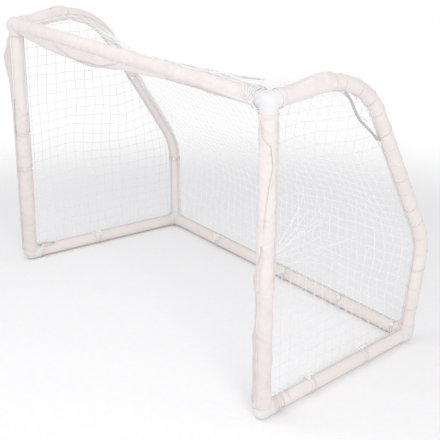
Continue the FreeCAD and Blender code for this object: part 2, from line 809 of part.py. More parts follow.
def arc_from_tangent(start, tangent, end):
    """The arc that leaves start along the tangent and ends at end."""
    chord = end - start
    across = tangent - unit(chord) * tangent.dot(unit(chord))
    if across.Length < STRAIGHT:
        return Part.makeLine(start, end)
    bend = turn_between(tangent, chord)
    middle = start + chord / 2 + unit(across) * (chord.Length / 2 * math.tan(bend / 2))
    return Part.Arc(start, middle, end).toShape()


def biarc(start, start_tangent, end, end_tangent):
    """Two arcs that join two points with the given directions."""
    chord = end - start
    both = start_tangent + end_tangent
    spread = 2 * (1 - start_tangent.dot(end_tangent))
    reach = (math.sqrt(chord.dot(both) ** 2 + spread * chord.dot(chord)) - chord.dot(both)) / spread
    joint = (start + end + (start_tangent - end_tangent) * reach) / 2
    back = arc_from_tangent(end, end_tangent * -1, joint)
    return [arc_from_tangent(start, start_tangent, joint), back]


QUARTERS = 4            # biarcs in a turn of the lacing
CORD_SIDES = 3
TANGENT_STEP = 0.01     # mm either side of a point, to find the cord's direction there
GAP_SAMPLES = 24        # points in a turn, to measure the gap between turns


def make_lacing(name, side):
    axis_length, at = tube_axis(side)
    pitch, start = cell("lacing_pitch"), cell("lacing_start")
    turns = math.floor((axis_length - start - cell("lacing_end_space")) / pitch)
    radius = PIPE_RADIUS + cell("seat_gap") + cell("cord_diameter") / 2

    def cord_point(s):
        axis_point, inner, square = at(s)
        angle = 2 * math.pi * (s - start) / pitch
        return axis_point + (inner * math.cos(angle) + square * side * math.sin(angle)) * radius

    def cord_tangent(s):
        return unit(cord_point(s + TANGENT_STEP) - cord_point(s - TANGENT_STEP))

    marks = [start + pitch * i / QUARTERS for i in range(turns * QUARTERS + 1)]
    edges = []
    for here, ahead in zip(marks, marks[1:]):
        edges += biarc(cord_point(here), cord_tangent(here), cord_point(ahead), cord_tangent(ahead))
    path = Part.Wire(Part.__sortEdges__(edges))
    # a three-sided section inside the cord's round one
    across = frame_from(cord_point(start), cord_tangent(start), at(start)[1])
    section = [
        across.multVec(Vector(math.cos(angle), math.sin(angle), 0) * cell("cord_diameter") / 2)
        for angle in (2 * math.pi * i / CORD_SIDES for i in range(CORD_SIDES))
    ]
    shell = Part.BRepOffsetAPI.MakePipeShell(path)
    shell.add(wire(section))
    shell.build()
    shell.makeSolid()
    lacing = shell.shape()
    print_least_gap(name, cord_point, start, pitch, turns)
    side_area = Part.Face(wire(section)).Area
    print(f"{name} lacing: {turns} turns, {path.Length:.0f} mm of cord, volume over section times length",
          round(lacing.Volume / (side_area * path.Length), 4))
    return add_solid(name + "_side_tube_lacing", lacing)


def print_least_gap(name, cord_point, start, pitch, turns):
    """Measures how near the cord comes to itself more than a quarter turn further on, less its diameter."""
    step = pitch / GAP_SAMPLES
    points = [cord_point(start + step * i) for i in range(turns * GAP_SAMPLES + 1)]
    apart = GAP_SAMPLES // QUARTERS
    least = min(
        (points[j] - points[i]).Length
        for i in range(len(points))
        for j in range(i + apart, min(i + 2 * GAP_SAMPLES, len(points)))
    )
    print(f"{name} lacing: least gap to itself {least - cell('cord_diameter'):.1f} mm")


# Ties: two turns of cord round a pipe, with a knot on the inside of the goal

TIE_SIDES = 12


def outline_round(placement, corner_reach):
    """A closed many-sided outline square to the placement's Z axis."""
    return wire([
        placement.multVec(Vector(math.cos(angle), math.sin(angle), 0) * corner_reach)
        for angle in (2 * math.pi * i / TIE_SIDES for i in range(TIE_SIDES))
    ])


def make_tie(point, direction, knot_direction):
    """A tie round a pipe whose axis passes through the point."""
    inner = PIPE_RADIUS + cell("seat_gap")
    width, knot = cell("tie_width"), cell("knot_size")
    start = frame_from(point - direction * (width / 2), direction, knot_direction)
    # the inner flats keep the seat gap from the pipe, and the outer corners reach as far as a round cord
    outlines = [outline_round(start, CORD_REACH), outline_round(start, inner / math.cos(math.pi / TIE_SIDES))]
    ring = Part.makeFace(outlines, "Part::FaceMakerBullseye").extrude(direction * width)
    block = Part.makeBox(knot, knot, knot, Vector(-knot / 2, -knot / 2, -knot / 2))
    upright_edges = [edge for edge in block.Edges if math.isclose(abs(edge.tangentAt(0).z), 1.0)]
    block = block.makeChamfer(knot / 4, upright_edges)
    knot_centre = inner + knot / 2
    block.Placement = frame_from(point + knot_direction * knot_centre, direction, knot_direction)
    return ring.fuse(block)


def make_rail_ties():
    groups = []
    for name, side, distances in (("left", LEFT, LEFT_RAIL_TIES), ("right", RIGHT, RIGHT_RAIL_TIES)):
        foot, rear = corner(side, False, False), corner(side, True, False)
        direction = unit(rear - foot)
        inward_and_up = Vector(-side, 0, 1)
        knot_way = unit(inward_and_up - direction * inward_and_up.dot(direction))
        ties = [make_tie(foot + direction * distance, direction, knot_way) for distance in distances]
        groups.append(add_solid(name + "_rail_ties", Part.makeCompound(ties)))
    start = corner(LEFT, True, False)
    across, forward_and_up = Vector(1, 0, 0), unit(Vector(0, -1, 1))
    ties = [make_tie(start + across * distance, across, forward_and_up) for distance in REAR_RAIL_TIES]
    groups.append(add_solid("rear_rail_ties", Part.makeCompound(ties)))
    return groups


def make_left_tube_ties():
    axis_length, at = tube_axis(LEFT)
    ties = []
    for distance in (LEFT_SLOPE_TIE, axis_length - LEFT_HEEL_TIE):
        point, inner, square = at(distance)
        direction = square.cross(inner)
        ties.append(make_tie(point, direction, unit(inner - square * LEFT)))
    return add_solid("left_side_tube_ties", Part.makeCompound(ties))


def make_all():
    parts = make_straight_pipes()
    for name, side in SIDES.items():
        parts.append(make_side_tube(name, side))
    parts += make_fittings()
    parts += make_sleeves()
    parts += make_roof_and_back_nets()
    for name, side in SIDES.items():
        parts.append(make_side_net(name, side))
    parts.append(make_lacing("right", RIGHT))
    parts.append(make_left_tube_ties())
    parts += make_rail_ties()
    doc.recompute()
    return parts


def check(parts):
    """Stops if any object failed or any sub-part has no valid solid."""
    failed = [item.Label for item in doc.Objects if {"Invalid", "Error"} & set(item.State)]
    for part in parts:
        if part.Shape.isNull() or not part.Shape.isValid() or part.Shape.Volume <= 0:
            failed.append(part.Label)
    if failed:
        raise RuntimeError("these failed: " + ", ".join(failed))


pieces = make_all()
check(pieces)
os.makedirs("parts", exist_ok=True)
for piece in pieces:
    piece.Shape.exportStep(f"parts/{piece.Label}.step")
    print(f"{piece.Label}: {len(piece.Shape.Solids)} solid, {piece.Shape.Volume / 1000:.1f} cm3")
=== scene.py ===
import json
import random
from math import ceil, cos, floor, hypot, pi, radians, sin, sqrt, tan, tanh

import bmesh
import bpy
import numpy as np
from mathutils import Matrix, Vector


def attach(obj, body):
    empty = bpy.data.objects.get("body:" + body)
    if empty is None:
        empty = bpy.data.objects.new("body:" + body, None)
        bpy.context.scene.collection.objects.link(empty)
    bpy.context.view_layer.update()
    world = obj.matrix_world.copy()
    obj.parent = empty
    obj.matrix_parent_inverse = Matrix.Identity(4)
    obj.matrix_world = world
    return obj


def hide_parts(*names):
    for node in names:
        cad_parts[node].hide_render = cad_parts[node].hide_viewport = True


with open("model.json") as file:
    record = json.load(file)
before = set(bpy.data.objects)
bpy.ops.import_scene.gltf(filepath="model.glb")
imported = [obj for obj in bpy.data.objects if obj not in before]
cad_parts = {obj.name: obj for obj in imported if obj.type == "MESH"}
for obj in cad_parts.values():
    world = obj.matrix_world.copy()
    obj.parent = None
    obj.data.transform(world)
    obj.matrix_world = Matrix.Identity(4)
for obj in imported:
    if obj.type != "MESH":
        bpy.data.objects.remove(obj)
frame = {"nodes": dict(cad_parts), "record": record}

# A street-hockey goal: its pipes come from the CAD model, and its cloth, net, lacing and ties are made
# here, in metres and radians. Places are first written with x, the distance y behind the posts and the
# height z above the axes of the floor rails. A corner centre is where the axes of its pipes meet.

OPENING = 1.8288  # between the posts
PIPE = 0.0603
HEIGHT = 1.2192
DEPTH = 0.906
REAR_WIDTH = 1.750
AXIS_HEIGHT = 0.034  # of the floor rails' axes
HALF_FRONT = (OPENING + PIPE) / 2
HALF_REAR = REAR_WIDTH / 2
PIPE_RADIUS = PIPE / 2
COLLAR = 0.047  # from a corner centre to a collar's end
SHOULDER = (0.4355, HEIGHT + 0.0532)  # y and z where a side tube's first two runs meet
SHOULDER_LEAN = 0.0198  # outwards from the top corner
SHOULDER_BEND = 0.334
HEEL = (0.9266, 0.4558)
HEEL_BEND = 0.323
NET_INSET = 0.03375  # from a pipe's axis to the net's border
NET_CORNER = COLLAR + 0.005  # from a corner centre to the net's cut corner
MESH = 0.050
LEFT, RIGHT = -1, 1
SIDES = {"left": LEFT, "right": RIGHT}
TURN = 2 * pi
DOWN, UP = Vector((0, 0, -1)), Vector((0, 0, 1))
FORWARD = Vector((0, -1, 0))

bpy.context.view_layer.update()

# Plane of a side tube: x = PLANE_START + PLANE_BACK * y + PLANE_UP * z
SHOULDER_SHARE = SHOULDER[0] / DEPTH
PLANE_UP = (SHOULDER_LEAN + (HALF_FRONT - HALF_REAR) * SHOULDER_SHARE) / (
    HEIGHT * SHOULDER_SHARE + SHOULDER[1] - HEIGHT
)
PLANE_START = HALF_FRONT - PLANE_UP * HEIGHT
PLANE_BACK = (HALF_REAR - PLANE_START) / DEPTH
PLANE_SLANT = sqrt(1 + PLANE_BACK ** 2 + PLANE_UP ** 2)


def place(x, y, z):
    return Vector((x, y - DEPTH / 2, z + AXIS_HEIGHT))


def tube_plane_x(y, z):
    return PLANE_START + PLANE_BACK * y + PLANE_UP * z


def corner(side, back, up):
    half = HALF_REAR if back else HALF_FRONT
    return place(side * half, DEPTH if back else 0.0, HEIGHT if up else 0.0)


# Routes: each gives the point at a distance, the way along and the way of angle zero

def spoke(zero, across, angle):
    """The way at an angle, counted from zero towards across."""
    return zero * cos(angle) + across * sin(angle)


def straight(start, end, zero):
    """The route of a straight pipe, with zero turned square to it."""
    ahead = (end - start).normalized()
    zero = (zero - ahead * zero.dot(ahead)).normalized()
    return lambda s: (start + ahead * s, ahead, zero)


class BentRoute:
    """The route of a side tube: three straight runs and two bends. Angle zero is inside the bends."""

    def __init__(self, points, radii):
        self.pieces = []
        directions = [(b - a).normalized() for a, b in zip(points, points[1:])]
        turns = [a.angle(b) for a, b in zip(directions, directions[1:])]
        tangents = [0.0, *(radius * tan(turn / 2) for radius, turn in zip(radii, turns)), 0.0]
        self.square = directions[1].cross(directions[0]).normalized()
        distance = 0.0
        for i, direction in enumerate(directions):
            start = points[i] + direction * tangents[i]
            length = (points[i + 1] - points[i]).length - tangents[i] - tangents[i + 1]
            self.pieces.append((distance, start, direction, None))
            distance += length
            if i < len(turns):
                self.pieces.append((distance, start + direction * length, direction, radii[i]))
                distance += radii[i] * turns[i]
        self.length = distance

    def at(self, s):
        passed = [piece for piece in self.pieces if piece[0] <= max(s, 0.0)]
        start, base, direction, radius = passed[-1]
        inner = direction.cross(self.square)
        if radius is None:
            return base + direction * (s - start), direction, inner
        angle = (s - start) / radius
        heading = spoke(inner, -direction, angle)
        return base + inner * radius - heading * radius, spoke(direction, inner, angle), heading


def tube_route(side):
    spots = [(0, HEIGHT), SHOULDER, HEEL, (DEPTH, 0)]
    points = [place(side * tube_plane_x(*spot), *spot) for spot in spots]
    return BentRoute(points, [SHOULDER_BEND, HEEL_BEND])


def post_route(side):
    return straight(corner(side, False, False), corner(side, False, True), FORWARD)


ROUTES = {side: tube_route(side) for side in SIDES.values()}
PROFILE = tube_route(0)  # the same route seen square from the side, which the back net follows


# Node materials

def new_material(name):
    material = bpy.data.materials.new(name)
    material.use_nodes = True
    tree = material.node_tree
    return material, tree, tree.nodes["Principled BSDF"]


def feed(tree, node, inputs):
    """Gives each input of a node its value, or links it to another node's output."""
    for key, value in inputs.items():
        if isinstance(value, bpy.types.NodeSocket):
            tree.links.new(value, node.inputs[key])
        else:
            node.inputs[key].default_value = value


def add_node(tree, kind, inputs=(), **settings):
    node = tree.nodes.new("ShaderNode" + kind)
    for key, value in settings.items():
        setattr(node, key, value)
    feed(tree, node, dict(inputs))
    return node


def coordinates(tree, kind):
    return add_node(tree, "TexCoord").outputs[kind]


def noise(tree, where, scale, detail=4.0, roughness=0.55):
    inputs = {"Vector": where, "Scale": scale, "Detail": detail, "Roughness": roughness}
    return add_node(tree, "TexNoise", inputs).outputs["Fac"]


def math_node(tree, operation, *values):
    node = add_node(tree, "Math", enumerate(values), operation=operation)
    return node.outputs["Value"]


def map_range(tree, value, start, end, low=0.0, high=1.0, **settings):
    """The range from start to end, mapped to the one from low to high."""
    inputs = {"Value": value, "From Min": start, "From Max": end, "To Min": low, "To Max": high}
    return add_node(tree, "MapRange", inputs, **settings).outputs["Result"]


def blend(tree, factor, low, high):
    """A colour between two (place, colour) stops."""
    ramp = add_node(tree, "ValToRGB", {"Fac": factor})
    for element, (position, colour) in zip(ramp.color_ramp.elements, (low, high)):
        element.position = position
        element.color = (*colour, 1.0)
    return ramp.outputs["Color"]


def add_bump(tree, shader, height, strength, distance):
    inputs = {"Strength": strength, "Distance": distance, "Height": height}
    bump = add_node(tree, "Bump", inputs)
    feed(tree, shader, {"Normal": bump.outputs["Normal"]})


WHITE = (1.0, 1.0, 1.0)
SCUFF = (0.62, 0.6, 0.6)
GLOSS_PLAY = (-0.08, 0.1)  # of the plastic's roughness


def plastic(name, clean, worn, roughness):
    """White moulded or extruded plastic with faint mottling, scuffs and a slightly uneven gloss."""
    material, tree, shader = new_material(name)
    where = coordinates(tree, "Object")
    broad = noise(tree, where, scale=6.0, detail=3.0)
    scuffs = noise(tree, where, scale=90.0, detail=6.0, roughness=0.7)
    tone = blend(tree, broad, (0.3, worn), (0.62, clean))
    marks = blend(tree, scuffs, (0.28, SCUFF), (0.36, WHITE))
    inputs = {"Factor": 0.35, "A": tone, "B": marks}
    mix = add_node(tree, "Mix", inputs, data_type="RGBA", blend_type="MULTIPLY")
    low, high = [roughness + play for play in GLOSS_PLAY]
    feed(tree, shader, {
        "Base Color": mix.outputs["Result"],
        "Roughness": map_range(tree, broad, 0.0, 1.0, low, high),
        "IOR": 1.5,
    })
    add_bump(tree, shader, scuffs, strength=0.08, distance=0.0004)
    return material


THREAD_SCALE = 420.0  # of the wave texture: a thread each 0.75 mm
WEAVE_HEIGHT = 0.25  # of the threads against the creases
# Painted shade that darkens the cloth towards the floor
LOW_SHADE_FULL = 0.18  # height below which the painted shade darkens the cloth most
LOW_SHADE_GONE = 0.78
LOW_SHADE_KEPT = 0.925  # what is left of its brightness there


def cloth(name, light, shade):
    """Plain woven cloth: crossing threads, soft creases with painted shade in them, a little sheen, and
    painted shade near the floor.
    """
    material, tree, shader = new_material(name)
    where = coordinates(tree, "UV")
    threads = {"Vector": where, "Scale": THREAD_SCALE, "Distortion": 0.6}
    warp, weft = [
        add_node(tree, "TexWave", threads, bands_direction=way).outputs["Fac"]
        for way in ("X", "Y")
    ]
    creases = noise(tree, where, scale=14.0, detail=5.0, roughness=0.6)
    # painted shade: the creases noise that dents the cloth in the bump also darkens its colour
    tone = blend(tree, creases, (0.32, shade), (0.66, light))
    # painted shade: darker towards the floor
    spot = add_node(tree, "SeparateXYZ", {"Vector": coordinates(tree, "Object")})
    soil_and_low_shade = map_range(tree, spot.outputs["Z"], LOW_SHADE_FULL, LOW_SHADE_GONE, LOW_SHADE_KEPT, 1.0)
    low_shaded = add_node(tree, "VectorMath", {"Vector": tone, "Scale": soil_and_low_shade}, operation="SCALE")
    weave = math_node(tree, "MULTIPLY", warp, weft)
    height = math_node(tree, "MULTIPLY_ADD", weave, WEAVE_HEIGHT, creases)
    add_bump(tree, shader, height, strength=0.5, distance=0.0008)
    feed(tree, shader, {
        "Base Color": low_shaded.outputs["Vector"],
        "Roughness": 0.78,
        "Sheen Weight": 0.25,
        "Sheen Roughness": 0.5,
    })
    return material


LAY_SCALE = 160.0  # of the wave texture: a strand each 2 mm


def cord_material(name, light, shade, glow=0.0):
    """Twisted cord: fine slanting strands. The glow is painted light: an emission that stands for light
    coming through thin strands.
    """
    material, tree, shader = new_material(name)
    where = coordinates(tree, "Object")
    strands = {"Vector": where, "Scale": LAY_SCALE, "Distortion": 1.5, "Detail": 2.0}
    lay = add_node(tree, "TexWave", strands, bands_direction="DIAGONAL")
    soil_and_low_shade = noise(tree, where, scale=5.0, detail=3.0)
    tone = blend(tree, soil_and_low_shade, (0.3, shade), (0.65, light))
    add_bump(tree, shader, lay.outputs["Fac"], strength=0.4, distance=0.0004)
    feed(tree, shader, {
        "Base Color": tone,
        "Emission Color": tone,
        "Emission Strength": glow,
        "Roughness": 0.7,
        "Sheen Weight": 0.2,
    })
    return material


MATERIALS = {
    "pipe": plastic("pipe_plastic", (0.842, 0.79, 0.764), (0.80, 0.742, 0.714), 0.42),
    "fitting": plastic("fitting_plastic", (0.79, 0.788, 0.805), (0.745, 0.745, 0.76), 0.36),
    # a warmer copy of the fitting plastic for the fittings near the floor: painted shade, the tint they
    # show in shade
    "low fitting": plastic("shade_tinted_fitting_plastic", (0.82, 0.795, 0.79), (0.765, 0.735, 0.728), 0.40),
    "cloth": cloth("sleeve_cloth", (0.855, 0.80, 0.784), (0.80, 0.74, 0.722)),
    # a darker copy of the sleeve cloth: painted shade along the seams, laps and loose edges
    "hem": cloth("seam_shade_cloth", (0.745, 0.69, 0.68), (0.66, 0.605, 0.595)),
    # the net cord glows a little: painted light for light through its thin strands
    "net": cord_material("net_cord", (0.91, 0.905, 0.915), (0.85, 0.845, 0.86), 0.115),
    # a darker copy of the net cord with little painted glow: painted shade on the side nets
    "side net": cord_material("side_net_cord", (0.85, 0.84, 0.855), (0.785, 0.775, 0.79), 0.02),
    # a copy of the net cord, darker and with less painted glow: painted shade on the rolled and gathered
    # strands
    "gathered net": cord_material("gathered_net_cord", (0.88, 0.87, 0.88), (0.82, 0.81, 0.82), 0.065),
    # a darker copy of the white cord: painted shade on the nets' border ropes, the ropes at the ties and
    # loose strands
    "border": cord_material("border_cord", (0.80, 0.765, 0.755), (0.72, 0.68, 0.67)),
    # darker still: painted shade of a backlit rope, on the loose border and the left elbow's rope ends
    "rope": cord_material("loose_rope", (0.61, 0.575, 0.565), (0.51, 0.475, 0.465)),
    "cord": cord_material("lacing_cord", (0.885, 0.84, 0.825), (0.80, 0.755, 0.74)),
    # a brighter copy of the net cord with painted glow: painted highlight on the bunched strands and the
    # tie knots and ends
    "bunched": cord_material("bunched_cord", (0.95, 0.94, 0.94), (0.90, 0.87, 0.86), 0.075),
}
LOW_FITTINGS = ("front_corner_elbows", "rear_corner_fittings")


def dress(piece, slot, *nodes, paint):
    """Gives a piece its material, attaches it to the root body and hides the CAD nodes that it stands
    for; its slot is not used.
    """
    piece.data.materials.clear()
    piece.data.materials.append(MATERIALS[paint])
    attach(piece, "root")
    if nodes:
        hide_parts(*nodes)
    return piece


def paint_frame():
    slots = {item["node"]: item["material_slot"] for item in frame["record"]["subparts"]}
    for name, node in frame["nodes"].items():
        for slot in node.material_slots:
            # the low fittings take the warmer copy, painted shade
            slot.material = MATERIALS["low fitting" if name in LOW_FITTINGS else slots[name]]


def soften_fittings():
    for name in ("top_corner_fittings", *LOW_FITTINGS):
        bevel = frame["nodes"][name].modifiers.new("moulded edge", "BEVEL")
        bevel.width = 0.0022
        bevel.segments = 3
        bevel.angle_limit = radians(38)


# Meshes, cords and lines

def add_object(name, data):
    piece = bpy.data.objects.new(name, data)
    bpy.context.scene.collection.objects.link(piece)
    return piece


def add_mesh(name, vertices, faces):
    mesh = bpy.data.meshes.new(name)
    mesh.from_pydata([tuple(v) for v in vertices], [], faces)
    mesh.shade_smooth()
    mesh.update()
    return add_object(name, mesh)


def add_cloth(name, vertices, uvs, columns, closed=False):
    """A piece of cloth from rows of vertices. The ends of each row join up if closed."""
    faces = []
    for low in range(0, len(vertices) - columns, columns):
        high = low + columns
        for j in range(columns if closed else columns - 1):
            k = (j + 1) % columns
            faces.append((low + j, low + k, high + k, high + j))
    piece = add_mesh(name, vertices, faces)
    layer = piece.data.uv_layers.new(name="flat")
    for loop in piece.data.loops:
        layer.data[loop.index].uv = uvs[loop.vertex_index]
    thick = piece.modifiers.new("cloth thickness", "SOLIDIFY")
    thick.thickness = CLOTH / 2
    thick.offset = 0.0
    return piece


def add_cords(name, lines, radius, paint, slot="net", nodes=(), closed=False, resolution=2):
    """Round cords along lists of points, dressed."""
    data = bpy.data.curves.new(name, "CURVE")
    data.dimensions = "3D"
    data.bevel_depth = radius
    data.bevel_resolution = resolution
    data.use_fill_caps = True
    for points in lines:
        spline = data.splines.new("POLY")
        spline.points.add(len(points) - 1)
        for target, point in zip(spline.points, points):
            target.co = (*point, 1.0)
        spline.use_cyclic_u = closed
        spline.use_smooth = True
    dress(add_object(name, data), slot, *nodes, paint=paint)


def shares(count):
    return [i / count for i in range(count + 1)]


def smooth_line(points, step=0.006):
    """A rounded line through a few points, by Catmull-Rom spans."""
    ends = [points[0] * 2 - points[1]] + list(points) + [points[-1] * 2 - points[-2]]
    line = []
    for a, b, c, d in zip(ends, ends[1:], ends[2:], ends[3:]):
        square = a * 2 - b * 5 + c * 4 - d
        cube = b * 3 - a - c * 3 + d
        count = max(2, round((c - b).length / step))
        for k in range(count):
            t = k / count
            line.append((b * 2 + (c - a) * t + square * t ** 2 + cube * t ** 3) / 2)
    return line + [points[-1]]


ASKEW = Vector((0.3, 0.5, 0.8))  # a way that the twisted cord doesn't run along


def twisted(line, offset, lay, count):
    """The strands of a cord twisted round a line, at an offset from it and a turn in each lay."""
    strands = [[] for _ in range(count)]
    distance = 0.0
    for i, point in enumerate(line):
        ahead = (line[min(i + 1, len(line) - 1)] - line[max(i - 1, 0)]).normalized()
        distance += (point - line[i - 1]).length if i else 0.0
        side = ahead.cross(ASKEW).normalized()
        other = ahead.cross(side)
        for k, points in enumerate(strands):
            points.append(point + spoke(side, other, TURN * (distance / lay + k / count)) * offset)
    return strands


# Smooth random fields and curves

WAVES = 6  # sine waves in a random field
WAVE_PLAY = (0.6, 1.8)  # their wavelengths against the field's own
MOST_WINDINGS = 3  # of one wave round a pipe


def random_pace(rng, wavelength):
    return TURN / (wavelength * rng.uniform(*WAVE_PLAY))


def wander(seed, s, angle, wavelength):
    """A random field of about -1 to 1 along s, which closes on itself over a full turn."""
    rng = random.Random(seed)
    total = 0.0
    for _ in range(WAVES):
        pace = random_pace(rng, wavelength)
        windings = rng.randint(-MOST_WINDINGS, MOST_WINDINGS)
        total = total + np.sin(pace * s + windings * angle + rng.uniform(0, TURN))
    return total / sqrt(WAVES)


def drift(seed, u, v, wavelength):
    """A random field of about -1 to 1 over a flat sheet."""
    rng = random.Random(seed)
    total = 0.0
    for _ in range(WAVES):
        pace = random_pace(rng, wavelength)
        way = rng.uniform(0, TURN)
        along = u * cos(way) + v * sin(way)
        total += sin(pace * along + rng.uniform(0, TURN))
    return total / sqrt(WAVES)


def ease(share):
    return share * share * (3 - 2 * share)


def bell(off, width):
    return np.exp(-((off / width) ** 2))


def signed_angle(angle):
    """The same angle, within half a turn of zero."""
    return (angle + pi) % TURN - pi


def between(stops, s):
    """A value at s, eased between (place, value) stops. A plain number holds everywhere."""
    if isinstance(stops, float):
        return stops
    if s <= stops[0][0]:
        return stops[0][1]
    for (a, low), (b, high) in zip(stops, stops[1:]):
        if s <= b:
            return low + (high - low) * ease((s - a) / (b - a))
    return stops[-1][1]


# Cloth sleeves

CLOTH_STEP = 0.005  # between rings and rows
AROUND = 84
STRIPS = 6  # over the width of an edge
CLOTH = 0.0014  # thickness
COLLAR_RADIUS = 0.035
COLLAR_CLEAR = 0.012  # from a collar's end to cloth on the pipe
COLLAR_FALL = 0.010  # length over which it comes down
BAGGY = (0.45, 0.55)  # mean and swing of a sleeve's looseness
RIPPLE = 0.0006
RAW_END = 0.0004  # between a sleeve's raw end and the pipe
SLANT_POWER = 6  # how late the slant of a sleeve's end sets in
CLOSED_DEPTH = 0.016  # of the rounded end of the cloth over a corner
CLOSED_RINGS = (88, 72, 56, 40, 24, 10)  # degrees up that rounded end
FOLD_SPACING = 0.020
FOLD_DEPTH = 0.0026
FOLD_SLANT = 0.8
FOLD_LENGTHS = (0.014, 0.040)
FOLD_WIDTHS = (0.004, 0.008)
BESIDE_FOLD = 1.7  # place of the swell beside a fold, in widths
BESIDE_SWELL = 0.7  # its height, in depths


def folds(seed, start, end):
    """Pinched folds scattered over a sleeve: place, turn, slant, length, width and depth of each."""
    rng = random.Random(seed)
    found = []
    s = start
    while s < end:
        s += FOLD_SPACING * rng.uniform(0.3, 1.7)
        turn = rng.uniform(0, TURN)
        slant = rng.uniform(-FOLD_SLANT, FOLD_SLANT)
        length = rng.uniform(*FOLD_LENGTHS)
        width = rng.uniform(*FOLD_WIDTHS)
        found.append((s, turn, slant, length, width, FOLD_DEPTH * rng.uniform(0.3, 1.0)))
    return found


def fold_relief(found, s, angle):
    """How far the folds push the cloth in, and out beside them."""
    total = np.zeros_like(s + angle)
    for place_at, turn, slant, length, width, depth in found:
        across = signed_angle(angle - turn) * PIPE_RADIUS
        onward = s - place_at
        lengthways, square = spoke(across, onward, slant), spoke(onward, -across, slant)
        form = BESIDE_SWELL * bell(square - BESIDE_FOLD * width, width) - bell(square, width)
        total += bell(lengthways, length) * depth * form
    return total


# Where one edge of the cloth lies over the other, with places and widths as angles
LAP_RISE = 0.0042
LAP_SOFTNESS = 0.035
LAP_FADE = 0.9
GROOVE_DEPTH = 0.0022
GROOVE_AT = -0.11
GROOVE_WIDTH = 0.09


def overlap_step(seam):
    """A sleeve's swell at a lap along (place, angle) stops."""
    def swell(s, angle):
        line = np.array([between(seam, float(row)) for row in s[:, 0]])[:, None]
        inside = signed_angle(line - angle)
        step = LAP_RISE / (1 + np.exp(-inside / LAP_SOFTNESS))
        fade = np.exp(-np.maximum(inside, 0) / LAP_FADE)
        return step * fade - GROOVE_DEPTH * bell(inside - GROOVE_AT, GROOVE_WIDTH)
    return swell


def sleeve(
    name, at, start, end, length, seed, loose=0.0028, slant=0.0, slant_at=0.0, swell=None, closed=False,
):
    """
    A loose cloth tube round a pipe of a corner-to-corner length. Its far end may be cut at a slant,
    and its near end may close over the corner.
    """
    rings = round((end - start) / CLOTH_STEP)
    share = np.linspace(0, 1, rings + 1)[:, None]
    angle = np.linspace(0, TURN, AROUND, endpoint=False)[None, :]
    s = start + (end - start) * share + slant * np.cos(angle - slant_at) * share ** SLANT_POWER
    nearest = np.minimum(s, length - s)
    over_collar = np.clip((COLLAR + COLLAR_CLEAR - nearest) / COLLAR_FALL, 0, 1)
    under = PIPE_RADIUS + (COLLAR_RADIUS - PIPE_RADIUS) * over_collar
    bag = np.clip(BAGGY[0] + BAGGY[1] * wander(seed, s, angle, wavelength=0.22), 0, None)
    ripple = RIPPLE * wander(seed + 1, s, angle * 2, wavelength=0.045)
    reach = under + CLOTH + loose * bag + (ripple + fold_relief(folds(seed, start, end), s, angle))
    if swell:
        reach += swell(s, angle)
    reach = np.maximum(reach, under + CLOTH * 0.6)
    # the raw ends turn in to the pipe
    s = np.vstack([s[:1], s, s[-1:]])
    reach = np.vstack([under[:1] + RAW_END, reach, under[-1:] + RAW_END])
    if closed:
        turns = [radians(degrees) for degrees in CLOSED_RINGS]
        s = np.vstack([s[:1] - CLOSED_DEPTH * sin(turn) for turn in turns] + [s[1:]])
        reach = np.vstack([reach[1:2] * cos(turn) for turn in turns] + [reach[1:]])
    vertices, uvs = [], []
    for places, radii in zip(s, reach):
        middle = float(places.mean())
        point, ahead, zero = at(middle)
        across = ahead.cross(zero)
        for j in range(AROUND):
            turn = TURN * j / AROUND
            out = spoke(zero, across, turn) * float(radii[j])
            vertices.append(point + ahead * (float(places[j]) - middle) + out)
            uvs.append((float(places[j]), turn * PIPE_RADIUS))
    return add_cloth(name, vertices, uvs, AROUND, closed=True)


EDGE_ROOT = PIPE_RADIUS + 0.0028  # from the pipe's axis to where an edge starts
EDGE_TAPER = 0.025  # length of the tapered end of an edge
EDGE_TIP = 0.12  # what is left of its width at the tip
WRAPPING = 1.0  # how far over an edge lies before it wraps round the pipe


def ribbon(
    name, at, start, end, seed, turns, widths, lays, wave=0.25, base=EDGE_ROOT, wraps=True, paint="hem",
):
    """
    The edge of a sleeve that stands off its seam. turns, widths and lays are the seam's angle, the
    edge's width and how far the edge lies over, from 0 for upright to about 1.5 for flat, each as
    one number or (place, value) stops. A flat edge wraps round the pipe, or hangs straight.
    """
    # the default hem paint is the darker cloth: painted shade along the edge
    vertices, uvs = [], []
    for along in shares(round((end - start) / CLOTH_STEP)):
        s = start + (end - start) * along
        point, ahead, zero = at(s)
        across = ahead.cross(zero)
        taper = max(EDGE_TIP, min(1.0, (s - start) / EDGE_TAPER, (end - s) / EDGE_TAPER))
        flutter = 1 + 0.4 * wave * float(wander(seed, s, 0, wavelength=0.13))
        width = between(widths, s) * flutter * taper
        lay = between(lays, s) + wave * float(wander(seed + 1, s, 0, wavelength=0.16))
        curling = 0.5 * wave * float(wander(seed + 2, s, 0, wavelength=0.09))
        turn = between(turns, s)
        radial = spoke(zero, across, turn)
        around = spoke(across, -zero, turn)
        x, y = base, 0.0
        for share in shares(STRIPS):
            curl = lay + curling * share
            if share:
                x += width / STRIPS * cos(curl)
                y += width / STRIPS * sin(curl)
            drop = y * y / (2 * base) if wraps and abs(lay) > WRAPPING else 0.0
            vertices.append(point + radial * (x - drop) + around * y)
            uvs.append((s, share * width))
    return dress(add_cloth(name, vertices, uvs, STRIPS + 1), "cloth", paint=paint)


BAR_LENGTH = OPENING + PIPE


def declare_cover(piece, node, carrier, length, *edges):
    dress(piece, "cloth", node, paint="cloth")


# Long creases on the front of the crossbar's cover, which run together at its right end
CREASE_ANGLES = (2.95, 2.65, 2.35, 2.05, 1.75)
CREASES_MEET = 1.05
CREASES_START = 1.02
CREASES_LENGTH = 0.80
CREASE_HEIGHT = 0.0017
CREASE_WIDTH = 0.09


